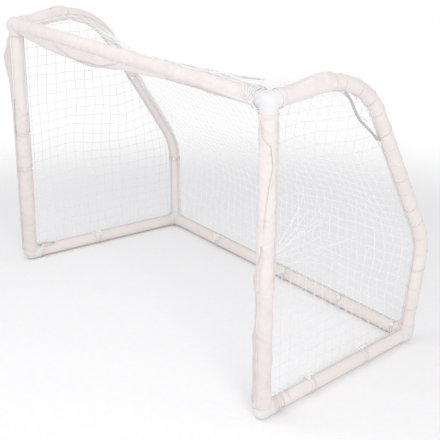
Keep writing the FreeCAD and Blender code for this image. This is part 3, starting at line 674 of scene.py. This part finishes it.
def long_creases(s, angle):
    share = np.clip((s - CREASES_START) / CREASES_LENGTH, 0, 1)
    fade = np.clip(share * 4, 0, 1)
    total = np.zeros_like(s + angle)
    for high in CREASE_ANGLES:
        line = -high + (high - CREASES_MEET) * share
        total += CREASE_HEIGHT * fade * bell(signed_angle(angle - line), CREASE_WIDTH)
    return total


def make_crossbar_cover():
    bar = straight(corner(LEFT, False, True), corner(RIGHT, False, True), DOWN)
    start, end = -0.022, BAR_LENGTH - 0.058
    piece = sleeve("crossbar_cover", bar, start, end, BAR_LENGTH, 11, swell=long_creases, closed=True)
    hem = ribbon(
        "crossbar_cover_hem", bar, 0.070, 1.330, seed=21, turns=-1.0,
        widths=[
            (0.07, 0.011), (0.21, 0.030), (0.36, 0.046), (0.55, 0.053), (0.73, 0.060), (0.89, 0.043),
            (1.02, 0.028), (1.33, 0.011),
        ],
        lays=1.10, wave=0.04, wraps=False, paint="cloth",
    )
    second = ribbon(
        "crossbar_cover_hem_overlap", bar, 0.420, 0.980, seed=24, turns=-1.08,
        widths=[(0.42, 0.016), (0.62, 0.050), (0.80, 0.044), (0.98, 0.014)],
        lays=1.10, wave=0.03, wraps=False, paint="cloth",
    )
    seam = ribbon(
        "crossbar_cover_seam", bar, 1.10, 1.76, seed=27, turns=[(1.1, -0.55), (1.76, -1.2)],
        widths=0.008, lays=1.3, wave=0.10,
    )
    low, high = HEIGHT - COLLAR - 0.006, HEIGHT - 0.010
    over_corner = sleeve("crossbar_cover_over_corner", post_route(LEFT), low, high, HEIGHT, seed=13)
    dress(over_corner, "cloth", paint="cloth")
    declare_cover(piece, "crossbar_sleeve", "crossbar", end - start, hem, second, seam, over_corner)


def make_left_post_cover():
    post = post_route(LEFT)
    start, end = -0.008, HEIGHT - 0.419
    piece = sleeve("left_post_cover", post, start, end, HEIGHT, seed=41, slant=0.043, slant_at=-0.9)
    edge = ribbon(
        "left_post_cover_edge", post, start + 0.006, HEIGHT - 0.040, seed=43, turns=-0.35,
        widths=[
            (0.30, 0.010), (0.75, 0.011), (0.90, 0.016), (1.065, 0.034), (1.137, 0.016), (1.18, 0.008),
        ],
        lays=-0.15, wave=0.06,
    )
    rim_start, rim_end = end - 0.16, end + 0.045
    rim = ribbon(
        "left_post_cover_rim", post, rim_start, rim_end, seed=46,
        turns=[(rim_start, -0.30), (rim_end, -0.75)], widths=0.009, lays=1.2, wave=0.12,
    )
    declare_cover(piece, "left_post_sleeve", "left_front_post", end - start, edge, rim)


# Turn of the seam down the right post, from straight ahead towards the outside, by its height
RIGHT_POST_SEAM = [
    (0.58, -0.03), (0.662, 0.24), (0.80, 0.59), (0.918, 0.98), (0.998, 1.31), (1.059, 1.12),
    (1.103, 0.17), (1.17, -0.09),
]


def make_right_post_cover():
    post = post_route(RIGHT)
    start, end = 0.021, HEIGHT - COLLAR + 0.004
    swell = overlap_step(RIGHT_POST_SEAM)
    piece = sleeve("right_post_cover", post, start, end, HEIGHT, seed=31, loose=0.0022, swell=swell)
    edge = ribbon(
        "right_post_cover_edge", post, start + 0.006, 0.70, seed=33, turns=RIGHT_POST_SEAM,
        widths=[
            (0.03, 0.010), (0.06, 0.018), (0.12, 0.013), (0.27, 0.016), (0.33, 0.018), (0.39, 0.007),
            (0.44, 0.004), (0.50, 0.011), (0.57, 0.020), (0.64, 0.014), (0.70, 0.006),
        ],
        lays=[(0.45, -0.25), (0.60, -0.1), (0.70, 1.2)], wave=0.10,
    )
    lap = ribbon(
        "right_post_cover_lap", post, 0.74, end - 0.004, seed=35, turns=RIGHT_POST_SEAM,
        widths=0.0055, lays=0.5, wave=0.08,
    )
    back_lap = ribbon(
        "right_post_cover_back_lap", post, 0.50, end - 0.004, seed=36,
        turns=[(0.50, 2.05), (0.80, 2.22), (1.15, 2.10)], widths=0.006, lays=0.5, wave=0.08,
    )
    declare_cover(piece, "right_post_sleeve", "right_front_post", end - start, edge, lap, back_lap)


ROOF_COVER = (0.034, 0.286)  # where it starts and ends along a side tube
ROOF_BAG_START = 0.10  # where the cloth starts to stand loose on top
ROOF_BAG = 0.0055


def roof_bag(s, angle):
    """The cloth stands loose on top, at angle pi, and most before its rear end."""
    top = np.clip(-np.cos(angle), 0, 1) ** 2
    share = np.clip((s - ROOF_BAG_START) / (ROOF_COVER[1] - ROOF_BAG_START), 0, 1)
    return ROOF_BAG * top * np.sin(pi * share ** 1.5)


def make_roof_covers():
    start, end = ROOF_COVER
    for name, side in SIDES.items():
        route = ROUTES[side]
        piece = sleeve(
            name + "_roof_cover", route.at, start, end, route.length, seed=51 + side, loose=0.0030,
            swell=roof_bag,
        )
        edge = ribbon(
            name + "_roof_cover_edge", route.at, 0.130, end - 0.002, seed=54 + side, turns=pi,
            widths=[(0.13, 0.003), (0.22, 0.007), (0.28, 0.003)], lays=-1.2 * side,
            base=PIPE_RADIUS + 0.009, paint="cloth",
        )
        declare_cover(piece, "roof_sleeves", name + "_side_tube", end - start, edge)


# Net

STRAND = 0.00105  # radii of a strand, a knot and the border
KNOT = 0.0024
BORDER = 0.0024
KNOT_TURN = 1.7  # from one knot to the next
KNOT_AXIS = Vector((1, 1, 0.5)).normalized()
KNOT_FORM = (1.25, 1.0, 0.85)
SWEEP = 0.013  # how far strands stray in wide sweeps
JITTER = 0.0035  # and from mesh to mesh
BILLOW = 0.012  # how far the net leaves its plane
CALM_EDGE = 0.14  # from the border to where all this is at its full size
KNOT_GAP = 0.006  # least gap between a knot and the border
SHORTEST = 0.02  # line of the net
OFF_CORNERS = 1e-5  # keeps a line of the net off the outline's corners
RIM_STEP = 0.02
ARC_STEP = 0.03


def edges_of(outline):
    return zip(outline, outline[1:] + outline[:1])


def segment_distance(u, v, a, b):
    run = (b[0] - a[0], b[1] - a[1])
    share = ((u - a[0]) * run[0] + (v - a[1]) * run[1]) / (run[0] ** 2 + run[1] ** 2)
    share = min(1.0, max(0.0, share))
    return hypot(u - a[0] - share * run[0], v - a[1] - share * run[1])


def edge_share(u, v, outline):
    """Zero on the outline and one well inside it."""
    nearest = min(segment_distance(u, v, a, b) for a, b in edges_of(outline))
    return min(1.0, nearest / CALM_EDGE)


def span_at(level, outline, axis):
    """Where a line at one coordinate enters and leaves an outline."""
    cuts = []
    for a, b in edges_of(outline):
        if (a[axis] - level) * (b[axis] - level) < 0:
            share = (level - a[axis]) / (b[axis] - a[axis])
            cuts.append(a[1 - axis] + share * (b[1 - axis] - a[1 - axis]))
    return (min(cuts), max(cuts)) if len(cuts) >= 2 else None


def steps_between(low, high):
    """The ends of a span and the multiples of the mesh inside it."""
    first = ceil((low + KNOT_GAP) / MESH)
    last = floor((high - KNOT_GAP) / MESH)
    return [low] + [i * MESH for i in range(first, last + 1)] + [high]


def flat_lines(outline, axis):
    """The net's lines at steady values of one coordinate, each as its ends and crossings."""
    levels = [point[axis] for point in outline]
    lines = []
    for i in range(ceil(min(levels) / MESH), floor(max(levels) / MESH) + 1):
        span = span_at(i * MESH + OFF_CORNERS, outline, axis)
        if span and span[1] - span[0] >= SHORTEST:
            steps = steps_between(*span)
            lines.append([(i * MESH, step) if axis == 0 else (step, i * MESH) for step in steps])
    return lines


def with_middles(points):
    """Flat points and the middles between them."""
    fine = []
    for a, b in zip(points, points[1:]):
        fine += [a, ((a[0] + b[0]) / 2, (a[1] + b[1]) / 2)]
    return fine + [points[-1]]


def rim_of(outline):
    """Points all along an outline."""
    rim = []
    for a, b in edges_of(outline):
        run = (b[0] - a[0], b[1] - a[1])
        count = max(1, round(hypot(*run) / RIM_STEP))
        rim += [(a[0] + run[0] * k / count, a[1] + run[1] * k / count) for k in range(count)]
    return rim


def stray(seed, u, v):
    return SWEEP * drift(seed, u, v, wavelength=0.55) + JITTER * drift(seed + 1, u, v, wavelength=0.13)


def make_net(name, outline, lift, nodes, seed, pull=None, paint="net"):
    """
    A knotted square mesh inside a flat outline. lift(u, v, out) gives a point's place, with out
    square to the net, and pull(u, v, share) draws strands together.
    """
    def settle(u, v):
        share = edge_share(u, v, outline)
        out = BILLOW * drift(seed + 4, u, v, wavelength=0.7)
        u, v = u + stray(seed, u, v) * share, v + stray(seed + 2, u, v) * share
        if pull:
            u, v = pull(u, v, share)
        return lift(u, v, out * share)

    across, along = flat_lines(outline, 0), flat_lines(outline, 1)
    lines = [[settle(*point) for point in with_middles(line)] for line in across + along]
    knots = [settle(*point) for line in across for point in line[1:-1]]
    rim = [settle(*point) for point in rim_of(outline)]
    add_cords(name, lines, STRAND, paint, nodes=nodes, resolution=1)
    make_knots(name + "_knots", knots, KNOT, "net", paint)
    add_cords(name + "_border", [rim], BORDER, "border", closed=True)


def make_knots(name, points, radius, slot, paint):
    """Small round knots in one mesh."""
    template = bmesh.new()
    bmesh.ops.create_icosphere(template, subdivisions=1, radius=radius)
    base = [Vector(c * stretch for c, stretch in zip(v.co, KNOT_FORM)) for v in template.verts]
    triangles = [[v.index for v in face.verts] for face in template.faces]
    template.free()
    vertices, faces = [], []
    for number, point in enumerate(points):
        turn = Matrix.Rotation(number * KNOT_TURN, 3, KNOT_AXIS)
        offset = len(vertices)
        vertices += [point + turn @ v for v in base]
        faces += [[offset + index for index in triangle] for triangle in triangles]
    return dress(add_mesh(name, vertices, faces), slot, paint=paint)


def arc_points(low, high):
    return [low + (high - low) * share for share in shares(ceil((high - low) / ARC_STEP))]


# The back net is flat in x and in the distance along the frame's profile from the crossbar
NET_START, NET_END = NET_INSET, PROFILE.length - NET_INSET
# How far it sinks at its middle, by that distance
NET_SAG = [(0.0, 0.0), (0.20, 0.10), (0.42, 0.165), (0.80, 0.13), (1.25, 0.06), (1.75, 0.0)]
SAG_INWARD = 0.35  # share of the sag that goes square to the net, not down
FAN_TIE_X = -0.020  # a place on the rear rail where the net's strands are gathered
FAN_WIDTH = 0.24
FAN_HEIGHT = 0.50
FAN_DRAW = 0.55  # how much of their distance the strands are drawn in
FAN_EDGE = 0.35  # the share of it that is left at the border
FOLD_LOW = (-0.764, 1.690)  # the two ends of a fold in the lower left
FOLD_HIGH = (-0.350, 1.440)
FOLD_DRAW = 0.75
FOLD_REACH = 0.055
FOLD_TAPER = 0.08
# Bunched strands: x of the gathered place, their reach, and their ways in degrees from the rail
FANS = [
    (FAN_TIE_X, 0.62, (31, 36, 42, 47, 52, 57, 63)),
    (0.091, 0.30, (24, 36)),
]
BUNCHED = STRAND * 2.1
BUNCHED_SPANS = 14


def net_half_width(s):
    point = PROFILE.at(s)[0]
    return tube_plane_x(point.y + DEPTH / 2, point.z - AXIS_HEIGHT) - NET_INSET * PLANE_SLANT


def back_net_outline():
    cut = NET_CORNER - NET_INSET
    top, bottom = net_half_width(NET_START) - cut, net_half_width(NET_END) - cut
    right_edge = [(net_half_width(s), s) for s in arc_points(NET_START + cut, NET_END - cut)]
    left_edge = [(-x, s) for x, s in reversed(right_edge)]
    rear = [(bottom, NET_END), (-bottom, NET_END)]
    return [(-top, NET_START), (top, NET_START)] + right_edge + rear + left_edge


def back_net_pull(u, v, share):
    """Draws strands towards the gathered place on the rear rail and into the fold."""
    rise = max(0.0, 1 - (NET_END - v) / FAN_HEIGHT)
    away = u - FAN_TIE_X
    drawn = FAN_DRAW * rise ** 1.5 * bell(away, FAN_WIDTH) * min(1, share + FAN_EDGE)
    u = FAN_TIE_X + away * (1 - drawn)
    fold = Vector(FOLD_HIGH) - Vector(FOLD_LOW)
    way = fold.normalized()
    spot = Vector((u, v)) - Vector(FOLD_LOW)
    onward, off = spot.dot(way), spot.x * -way.y + spot.y * way.x
    ends = min(1.0, max(0.0, onward / FOLD_TAPER), max(0.0, (fold.length - onward) / FOLD_TAPER))
    shift = -FOLD_DRAW * off * bell(off, FOLD_REACH) * ends * share
    return u - way.y * shift, v + way.x * shift


def back_net_place(u, v, out):
    point, _, inner = PROFILE.at(v)
    across = min(1.0, abs(u) / net_half_width(v))
    sag = between(NET_SAG, v) * (1 - across * across)
    inward = inner * (out + SAG_INWARD * sag)
    return Vector((u, point.y, point.z)) + inward + DOWN * ((1 - SAG_INWARD) * sag)


def make_back_net():
    """One net over the roof and down the back."""
    make_net(
        "back_net_mesh", back_net_outline(), back_net_place,
        ["roof_net", "shoulder_net", "sloping_back_net", "heel_net", "lower_back_net"], 71,
        back_net_pull,
    )
    rng = random.Random(8)
    bunched = []
    for tie_x, longest, degrees in [(x, longest, way) for x, longest, ways in FANS for way in ways]:
        way = radians(degrees + rng.uniform(-2, 2))
        reach = longest * rng.uniform(0.70, 1.05)
        slack = rng.uniform(-0.014, 0.014)
        line = []
        for share in shares(BUNCHED_SPANS):
            run, off = 0.008 + reach * share, slack * sin(pi * share)
            u = tie_x + run * cos(way) - off * sin(way)
            v = NET_END - 0.012 - run * sin(way) - off * cos(way)
            line.append(back_net_place(u, v, 0.016 * (1 - share) + 0.002))
        bunched.append(smooth_line(line, 0.012))
    add_cords("back_net_bunched_strands", bunched, BUNCHED, "bunched", resolution=1)


# Where the right side net's border leaves the tube at the shoulder, as (y, z)
LOOSE_BORDER = [
    (0.394, 1.160), (0.420, 1.119), (0.436, 1.096), (0.457, 1.072), (0.482, 1.051), (0.537, 1.004),
]
LOOSE_FROM, LOOSE_TO = 0.352, 0.585  # y of the tube's part beside it
LOOSE_LOOPS = [(0.402, 1.146, 1), (0.436, 1.096, 1), (0.470, 1.061, -1)]  # y, z and way of each
RAIL_BLEND = 0.24  # part of a diagonal over which a side net turns from the tube to the rail
SIDE_HOLLOW = 0.010


def side_outline(side):
    """The side net's edge in (y, z), which follows the post, the tube's inner side and the rail."""
    route = [(NET_INSET, NET_CORNER), (NET_INSET, HEIGHT - NET_CORNER)]
    loose = list(LOOSE_BORDER) if side == RIGHT else []
    for s in arc_points(NET_CORNER, PROFILE.length - NET_CORNER):
        point, _, inner = PROFILE.at(s)
        spot = point + inner * NET_INSET
        y, z = spot.y + DEPTH / 2, spot.z - AXIS_HEIGHT
        if side == RIGHT and LOOSE_FROM < y < LOOSE_TO and z > HEIGHT / 2:
            route += loose
            loose = []
        else:
            route.append((y, z))
    return route + [(DEPTH - NET_CORNER, NET_INSET), (NET_CORNER, NET_INSET)]


def side_net_place(side, y, z, out=0.0):
    """A point of a side net: in the tube's plane at the top and over the rail at the bottom."""
    lower, upper = HALF_FRONT + (HALF_REAR - HALF_FRONT) * y / DEPTH, tube_plane_x(y, z)
    share = min(1.0, max(0.0, 0.5 + (y / DEPTH + z / HEIGHT - 1) / RAIL_BLEND))
    return place(side * (lower + (upper - lower) * ease(share) + out), y, z)


def make_side_net(name, side):
    def lift(u, v, out):
        hollow = SIDE_HOLLOW * sin(pi * min(1.0, v / HEIGHT))
        return side_net_place(side, u, v, out - hollow)

    nodes = [name + "_side_net"]
    make_net(name + "_side_net_mesh", side_outline(side), lift, nodes, 81 + 7 * side, paint="side net")


def make_loose_border():
    """The right side net's border rope where it stands off the tube."""
    points = [(LOOSE_FROM, 1.208), *LOOSE_BORDER, (0.575, 0.973)]
    line = smooth_line([side_net_place(RIGHT, y, z) for y, z in points])
    strands = twisted(line, offset=0.0032, lay=0.05, count=3)
    add_cords("right_side_net_loose_border", strands, 0.0028, "rope")
    loops = []
    for y, z, way in LOOSE_LOOPS:
        spots = [(y, z), (y + 0.017, z + 0.008), (y + 0.020 * way, z + 0.030)]
        loops.append(smooth_line([side_net_place(RIGHT, *spot) for spot in spots], 0.004))
    add_cords("right_side_net_loose_strands", loops, STRAND * 1.5, "border")


# Lacing, ties and the gathered corner

LACING_START = 0.300
LACING_PITCH = 0.088
LACING_TURNS = 16
LACING_STEPS = 40  # round the tube
LACING_KNOT = 0.0028
HITCH_AT = 0.35  # share of the pitch before a hitch
HITCH_PLAY = 0.10
HITCH_SPREAD = (0.002, 0.014)  # between the two passes of a hitch
HITCH_LEAN = 0.007
HITCH_ANGLE = pi * 0.9  # of the knots, on the tube's outer side
CORD = 0.0011
CROSSING = 0.0005  # by which the second pass lies over the first
TIE_CORD = 0.0017
TANGLE_CORD = 0.0021
TIE_PITCH = 4.4 * TIE_CORD
TIE_STEPS = 96
TIE_BANDS = 0.30  # from a tie's middle to each of its bands, in knot sizes
TREFOILS = ((1.0, 0.0), (0.72, 0.5), (0.48, -0.6))  # size and lean of a knot's loops
TREFOIL_STEPS = 48
TAIL_LENGTHS = (1.8, 3.2)  # in knot sizes
ROPE_FORM = ((-1.5, -0.1), (-0.6, 0.5), (0.2, 0.9), (0.9, 0.4), (1.6, -0.1))  # also in sizes


def make_lacing():
    """Hitched lacing: each hitch goes twice round the tube, then steps on along its inner side."""
    route = ROUTES[RIGHT]
    rng = random.Random(5)
    points, knots = [], []
    for i in range(LACING_TURNS):
        play = rng.uniform(-HITCH_PLAY, HITCH_PLAY)
        hitch = LACING_START + LACING_PITCH * (i + HITCH_AT + play)
        spread = rng.uniform(*HITCH_SPREAD)
        for k in range(2 * LACING_STEPS):
            part = k / LACING_STEPS
            angle = TURN * part + HITCH_ANGLE
            # the first pass is nearly square, the second slants away from it
            s = hitch + HITCH_LEAN * cos(angle) + spread * max(0.0, part - 1)
            point, ahead, inner = route.at(s)
            reach = PIPE_RADIUS + CORD + (CROSSING if part > 1 else 0.0)
            points.append(point + spoke(inner, ahead.cross(inner), angle) * reach)
        point, ahead, inner = route.at(hitch + spread * 0.6)
        outer = spoke(inner, ahead.cross(inner), HITCH_ANGLE)
        knots.append(point + outer * (PIPE_RADIUS + CORD + 0.0012))
    add_cords("right_tube_lacing_cord", [points], CORD, "cord", "cord", ["right_side_tube_lacing"])
    make_knots("right_tube_lacing_knots", knots, LACING_KNOT, "cord", "cord")


def knot_lines(centre, ahead, out, size, rng):
    """A tangled knot, as trefoils inside one another, and its two drooping ends."""
    across = ahead.cross(out).normalized()
    tangle = []
    for scale, lean in TREFOILS:
        loop = []
        for share in shares(TREFOIL_STEPS):
            t = TURN * share
            x = sin(t + lean) + 2 * sin(2 * t)
            y = cos(t + lean) - 2 * cos(2 * t)
            flat = (ahead * x + across * y) * (scale * size / 3)
            loop.append(centre + flat + out * ((0.8 - scale - 0.35 * sin(3 * t)) * size))
        tangle.append(loop)
    tails = []
    for sign in (-1, 1):
        length = size * rng.uniform(*TAIL_LENGTHS)
        way = (ahead * sign + across * rng.uniform(-0.8, 0.8)).normalized()
        bend = centre + way * length * 0.5 + out * size * 0.5
        tails.append(smooth_line([centre, bend, centre + way * length - UP * size * 0.4], 0.003))
    return tangle, tails


def make_tie(name, point, ahead, way, nodes, seed, size=0.0075, turns=2, radius=PIPE_RADIUS):
    """Two bands of cord round a pipe, with a knot and loose ends towards the inside of the goal."""
    rng = random.Random(seed)
    across = ahead.cross(way).normalized()
    reach = radius + TIE_CORD + 0.0004
    winding = []
    for share in shares(TIE_STEPS * turns):
        # the cord crosses from the first band to the second under the knot
        band = tanh((share - 0.5) * 12 * turns) * TIE_BANDS * size
        s = band + (share - 0.5) * TIE_PITCH * turns
        winding.append(point + ahead * s + spoke(way, across, 2 * TURN * turns * share) * reach)
    tangle, tails = knot_lines(point + way * (reach + size * 0.42), ahead, way, size, rng)
    add_cords(name, [winding], TIE_CORD, "cord", "cord", nodes)
    # the knot and its ends take the bright bunched paint, a painted highlight
    add_cords(name + "_knot", tangle, TANGLE_CORD, "bunched", "cord")
    add_cords(name + "_ends", tails, TIE_CORD * 0.8, "bunched", "cord")
    # the net's border rope, drawn up through the knot; it and its darker paint also stand for the shade
    # in the knot's gaps
    rope = smooth_line([
        point + ahead * (along * size) + way * (reach + rise * size) + across * (0.3 * size)
        for along, rise in ROPE_FORM
    ], 0.003)
    add_cords(name + "_rope", [rope], BORDER * 0.8, "border")


# Near and far corner, way of the knots, seed, and each tie's distance and size
RAIL_TIES = {
    "left_rail_ties": ((LEFT, False), (LEFT, True), (1, 0, 1), 40, [(0.060, 0.013), (0.394, 0.021)]),
    "right_rail_ties": (
        (RIGHT, False), (RIGHT, True), (-0.25, 0, 1), 40,
        [(0.062, 0.009), (0.090, 0.012), (0.273, 0.020), (0.606, 0.023)],
    ),
    "rear_rail_ties": (
        (LEFT, True), (RIGHT, True), (0, -1, 1), 50,
        [(0.422, 0.020), (0.966, 0.016), (1.358, 0.009), (1.690, 0.009)],
    ),
}
LEFT_TUBE_TIES = (0.850, 1.435)  # distances along the tube
LEFT_POST_TIES = (0.665, 0.477)  # heights
OVER_POST_COVER = PIPE_RADIUS + 0.0065
OVER_BAR_COVER = PIPE_RADIUS + 0.0085


def make_ties():
    for node, (near, far, way, seed, ties) in RAIL_TIES.items():
        rail = straight(corner(*near, False), corner(*far, False), Vector(way))
        for i, (distance, size) in enumerate(ties):
            make_tie(f"{node}_cord_{i + 1}", *rail(distance), [node], seed + i, size)
    route = ROUTES[LEFT]
    for i, s in enumerate(LEFT_TUBE_TIES):
        point, ahead, inner = route.at(s)
        way = (inner - route.square * LEFT).normalized()
        make_tie(f"left_side_tube_ties_cord_{i + 1}", point, ahead, way, ["left_side_tube_ties"], 60 + i)
    for i, z in enumerate(LEFT_POST_TIES):
        point, way = place(-HALF_FRONT, 0, z), Vector((0.75, 0.66, 0))
        make_tie(
            f"left_post_net_tie_{i + 1}", point, UP, way, [], 65 + i, size=0.006, turns=1,
            radius=OVER_POST_COVER,
        )


# Slack ends of the side nets' border ropes at the elbows: x outward from the middle, y and z
ELBOW_ROPES = {
    LEFT: [
        [(0.922, 0.038, 0.038), (0.946, 0.080, 0.036), (0.920, 0.134, 0.033)],
        [(0.922, 0.038, 0.038), (0.898, 0.070, 0.034), (0.914, 0.128, 0.034)],
    ],
    RIGHT: [
        [(0.974, 0.036, 0.020), (0.978, 0.058, -0.006), (0.972, 0.104, -0.014)],
        [(0.944, 0.152, 0.033), (0.948, 0.128, 0.036), (0.972, 0.124, 0.020)],
    ],
}


def make_elbow_ropes():
    for name, side in SIDES.items():
        ropes = ELBOW_ROPES[side]
        lines = [smooth_line([place(side * x, y, z) for x, y, z in rope], 0.005) for rope in ropes]
        # the left ends take the darker rope paint, painted shade
        paint = "rope" if side == LEFT else "border"
        add_cords(name + "_side_net_rope_end", lines, BORDER * 0.8, paint)


# The net's front edge on top of the crossbar
ROLL_STRANDS = 14
ROLL_SPANS = 16
ROLL_START = 0.22  # x
ROLL_LENGTH = 0.65
ROLL_GIRTH = (0.002, 0.016)  # at its start, and what is added by its end
ROLL_TOP = HEIGHT + PIPE_RADIUS + 0.0055
# Where a strand of it goes on over the fitting: x, y and its play, height and its play
ROLL_EXIT = (
    (0.915, 0.006, 0.014, 0.062, 0.012), (0.943, 0.030, 0.012, 0.064, 0.013),
    (0.950, 0.090, 0, 0.061, 0.007), (0.952, 0.150, 0, 0.062, 0.003),
)
GATHER_FRONT = -PIPE_RADIUS - 0.008  # y of the gathered strands before the crossbar


def roll_strand(rng):
    """One strand of the rolled edge, which goes on over the fitting to the side tube its own way."""
    turn, phase = rng.uniform(0, TURN), rng.uniform(0, 6)
    points = []
    for share in shares(ROLL_SPANS):
        girth = ROLL_GIRTH[0] + ROLL_GIRTH[1] * share ** 2
        swing = turn + 3.0 * share + 0.9 * sin(9 * share + phase)
        y, rise = 0.010 + girth * cos(swing), girth * (1 + sin(swing)) * 0.8
        points.append(place(ROLL_START + ROLL_LENGTH * share, y, ROLL_TOP + rise))
    spread = rng.uniform(-1, 1)
    for x, y, y_play, z, z_play in ROLL_EXIT:
        points.append(place(x, y + y_play * spread, HEIGHT + z + z_play * spread))
    return smooth_line(points, 0.012)


def gathered_strands():
    """Strands drawn together before the crossbar's right end, and on below it towards the side net."""
    tie_point = place(0.900, GATHER_FRONT, HEIGHT - 0.004)
    strands = []
    for i in range(7):
        x = 0.815 + 0.022 * i
        top = place(x, -0.012 + 0.002 * i, HEIGHT + 0.042)
        bend = place(0.5 * x + 0.45, GATHER_FRONT - 0.001, HEIGHT + 0.024)
        strands.append(smooth_line([top, bend, tie_point], 0.004))
    for dx in (-0.003, 0.002, 0.006):
        front = place(0.905 + dx, GATHER_FRONT + 0.002, HEIGHT - 0.022)
        under = place(0.915 + dx, -0.020, HEIGHT - 0.042)
        rear = place(0.918 + dx, 0.020, HEIGHT - 0.050)
        strands.append(smooth_line([tie_point, front, under, rear], 0.004))
    return strands


def make_crossbar_roll():
    """The net's front edge, rolled up and lashed on top of the crossbar, and gathered at its end."""
    rng = random.Random(9)
    roll = [roll_strand(rng) for _ in range(ROLL_STRANDS)]
    add_cords("crossbar_net_roll", roll, STRAND * 1.25, "gathered net", resolution=1)
    add_cords("crossbar_net_gather", gathered_strands(), STRAND * 1.2, "gathered net")
    ahead, way = Vector((1, 0, 0)), Vector((0, -1, -0.15)).normalized()
    make_tie(
        "crossbar_end_tie", place(0.896, 0, HEIGHT), ahead, way, [], 70, size=0.005, turns=1,
        radius=OVER_BAR_COVER,
    )


# Stage, light and camera

CAMERA_PLACE = (3.2292, -2.0286 - DEPTH / 2, 2.0000 + AXIS_HEIGHT)
CAMERA_YAW = 0.8990
CAMERA_PITCH = 0.3320
CAMERA_ROLL = -0.0062
CAMERA_LENS = 75.39
CAMERA_SHIFT = -0.1
FLOOR_HALF = 6.0
FLOOR_FULL = 1.5  # from the middle, where the floor starts to fade into the background
FLOOR_GONE = 3.3
FLOOR_SHADE = (0.955, 0.955, 0.96)
FLOOR_LIGHT = (0.975, 0.975, 0.98)
DAYLIGHT = (0.985, 0.985, 1.0, 1.0)
DAYLIGHT_STRENGTH = 0.75


def make_camera():
    data = bpy.data.cameras.new("photo_camera")
    data.lens = CAMERA_LENS
    data.sensor_width = 36.0
    data.shift_y = CAMERA_SHIFT
    data.clip_end = 60.0
    camera = add_object("photo_camera", data)
    level = Vector((-sin(CAMERA_YAW), cos(CAMERA_YAW), 0.0))
    right = Vector((cos(CAMERA_YAW), sin(CAMERA_YAW), 0.0))
    ahead = spoke(level, DOWN, CAMERA_PITCH)
    x_axis = spoke(right, ahead.cross(right), CAMERA_ROLL)
    y_axis = (-ahead).cross(x_axis)
    rotation = Matrix((x_axis, y_axis, -ahead)).transposed()
    camera.matrix_world = Matrix.Translation(Vector(CAMERA_PLACE)) @ rotation.to_4x4()
    bpy.context.scene.camera = camera


def make_stage():
    """A matt floor, which fades away from the goal so that the white background shows."""
    corners = [(x * FLOOR_HALF, y * FLOOR_HALF, 0) for x, y in ((-1, -1), (1, -1), (1, 1), (-1, 1))]
    ground = add_mesh("floor", corners, [(0, 1, 2, 3)])
    material, tree, shader = new_material("floor_paint")
    where = coordinates(tree, "Object")
    tone = blend(tree, noise(tree, where, scale=30.0), (0.3, FLOOR_SHADE), (0.7, FLOOR_LIGHT))
    feed(tree, shader, {"Base Color": tone, "Roughness": 0.95, "Specular IOR Level": 0.1})
    distance = add_node(tree, "VectorMath", {0: where}, operation="LENGTH").outputs["Value"]
    fade = map_range(tree, distance, FLOOR_FULL, FLOOR_GONE, interpolation_type="SMOOTHERSTEP")
    clear = add_node(tree, "BsdfTransparent")
    shaders = {"Fac": fade, 1: shader.outputs["BSDF"], 2: clear.outputs["BSDF"]}
    mix = add_node(tree, "MixShader", shaders)
    feed(tree, tree.nodes["Material Output"], {"Surface": mix.outputs["Shader"]})
    ground.data.materials.append(material)


def make_world():
    """White for the camera and for reflections, and a softer white as light."""
    world = bpy.data.worlds.new("studio")
    world.use_nodes = True
    bpy.context.scene.world = world
    tree = world.node_tree
    tree.nodes.clear()
    path = add_node(tree, "LightPath").outputs
    seen = math_node(tree, "MAXIMUM", path["Is Camera Ray"], path["Is Glossy Ray"])
    light = add_node(tree, "Background", {"Color": DAYLIGHT, "Strength": DAYLIGHT_STRENGTH})
    white = add_node(tree, "Background", {"Color": (*WHITE, 1.0), "Strength": 1.0})
    shaders = {"Fac": seen, 1: light.outputs["Background"], 2: white.outputs["Background"]}
    mix = add_node(tree, "MixShader", shaders)
    add_node(tree, "OutputWorld", {"Surface": mix.outputs["Shader"]})


def add_area(name, place_at, aim, size, energy, colour):
    data = bpy.data.lights.new(name, "AREA")
    data.shape = "DISK"
    data.size = size
    data.energy = energy
    data.color = colour
    lamp = add_object(name, data)
    lamp.location = place_at
    lamp.rotation_mode = "QUATERNION"
    lamp.rotation_quaternion = (Vector(aim) - Vector(place_at)).to_track_quat("-Z", "Y")


def make_lights():
    add_area(
        "key_softbox", place_at=(3.6, -1.9, 2.2), aim=(0.3, 0, 0.6), size=1.8, energy=46,
        colour=(1.0, 0.985, 0.975),
    )
    add_area(
        "overhead_softbox", place_at=(-0.2, -1.7, 2.7), aim=(-0.1, -0.6, 0), size=1.8, energy=13,
        colour=(1.0, 0.99, 0.985),
    )


make_camera()
paint_frame()
soften_fittings()
make_crossbar_cover()
make_left_post_cover()
make_right_post_cover()
make_roof_covers()
make_back_net()
for side_name, side_sign in SIDES.items():
    make_side_net(side_name, side_sign)
make_loose_border()
make_lacing()
make_ties()
make_elbow_ropes()
make_crossbar_roll()
make_stage()
make_world()
make_lights()

bpy.context.scene.view_settings.view_transform = "Standard"
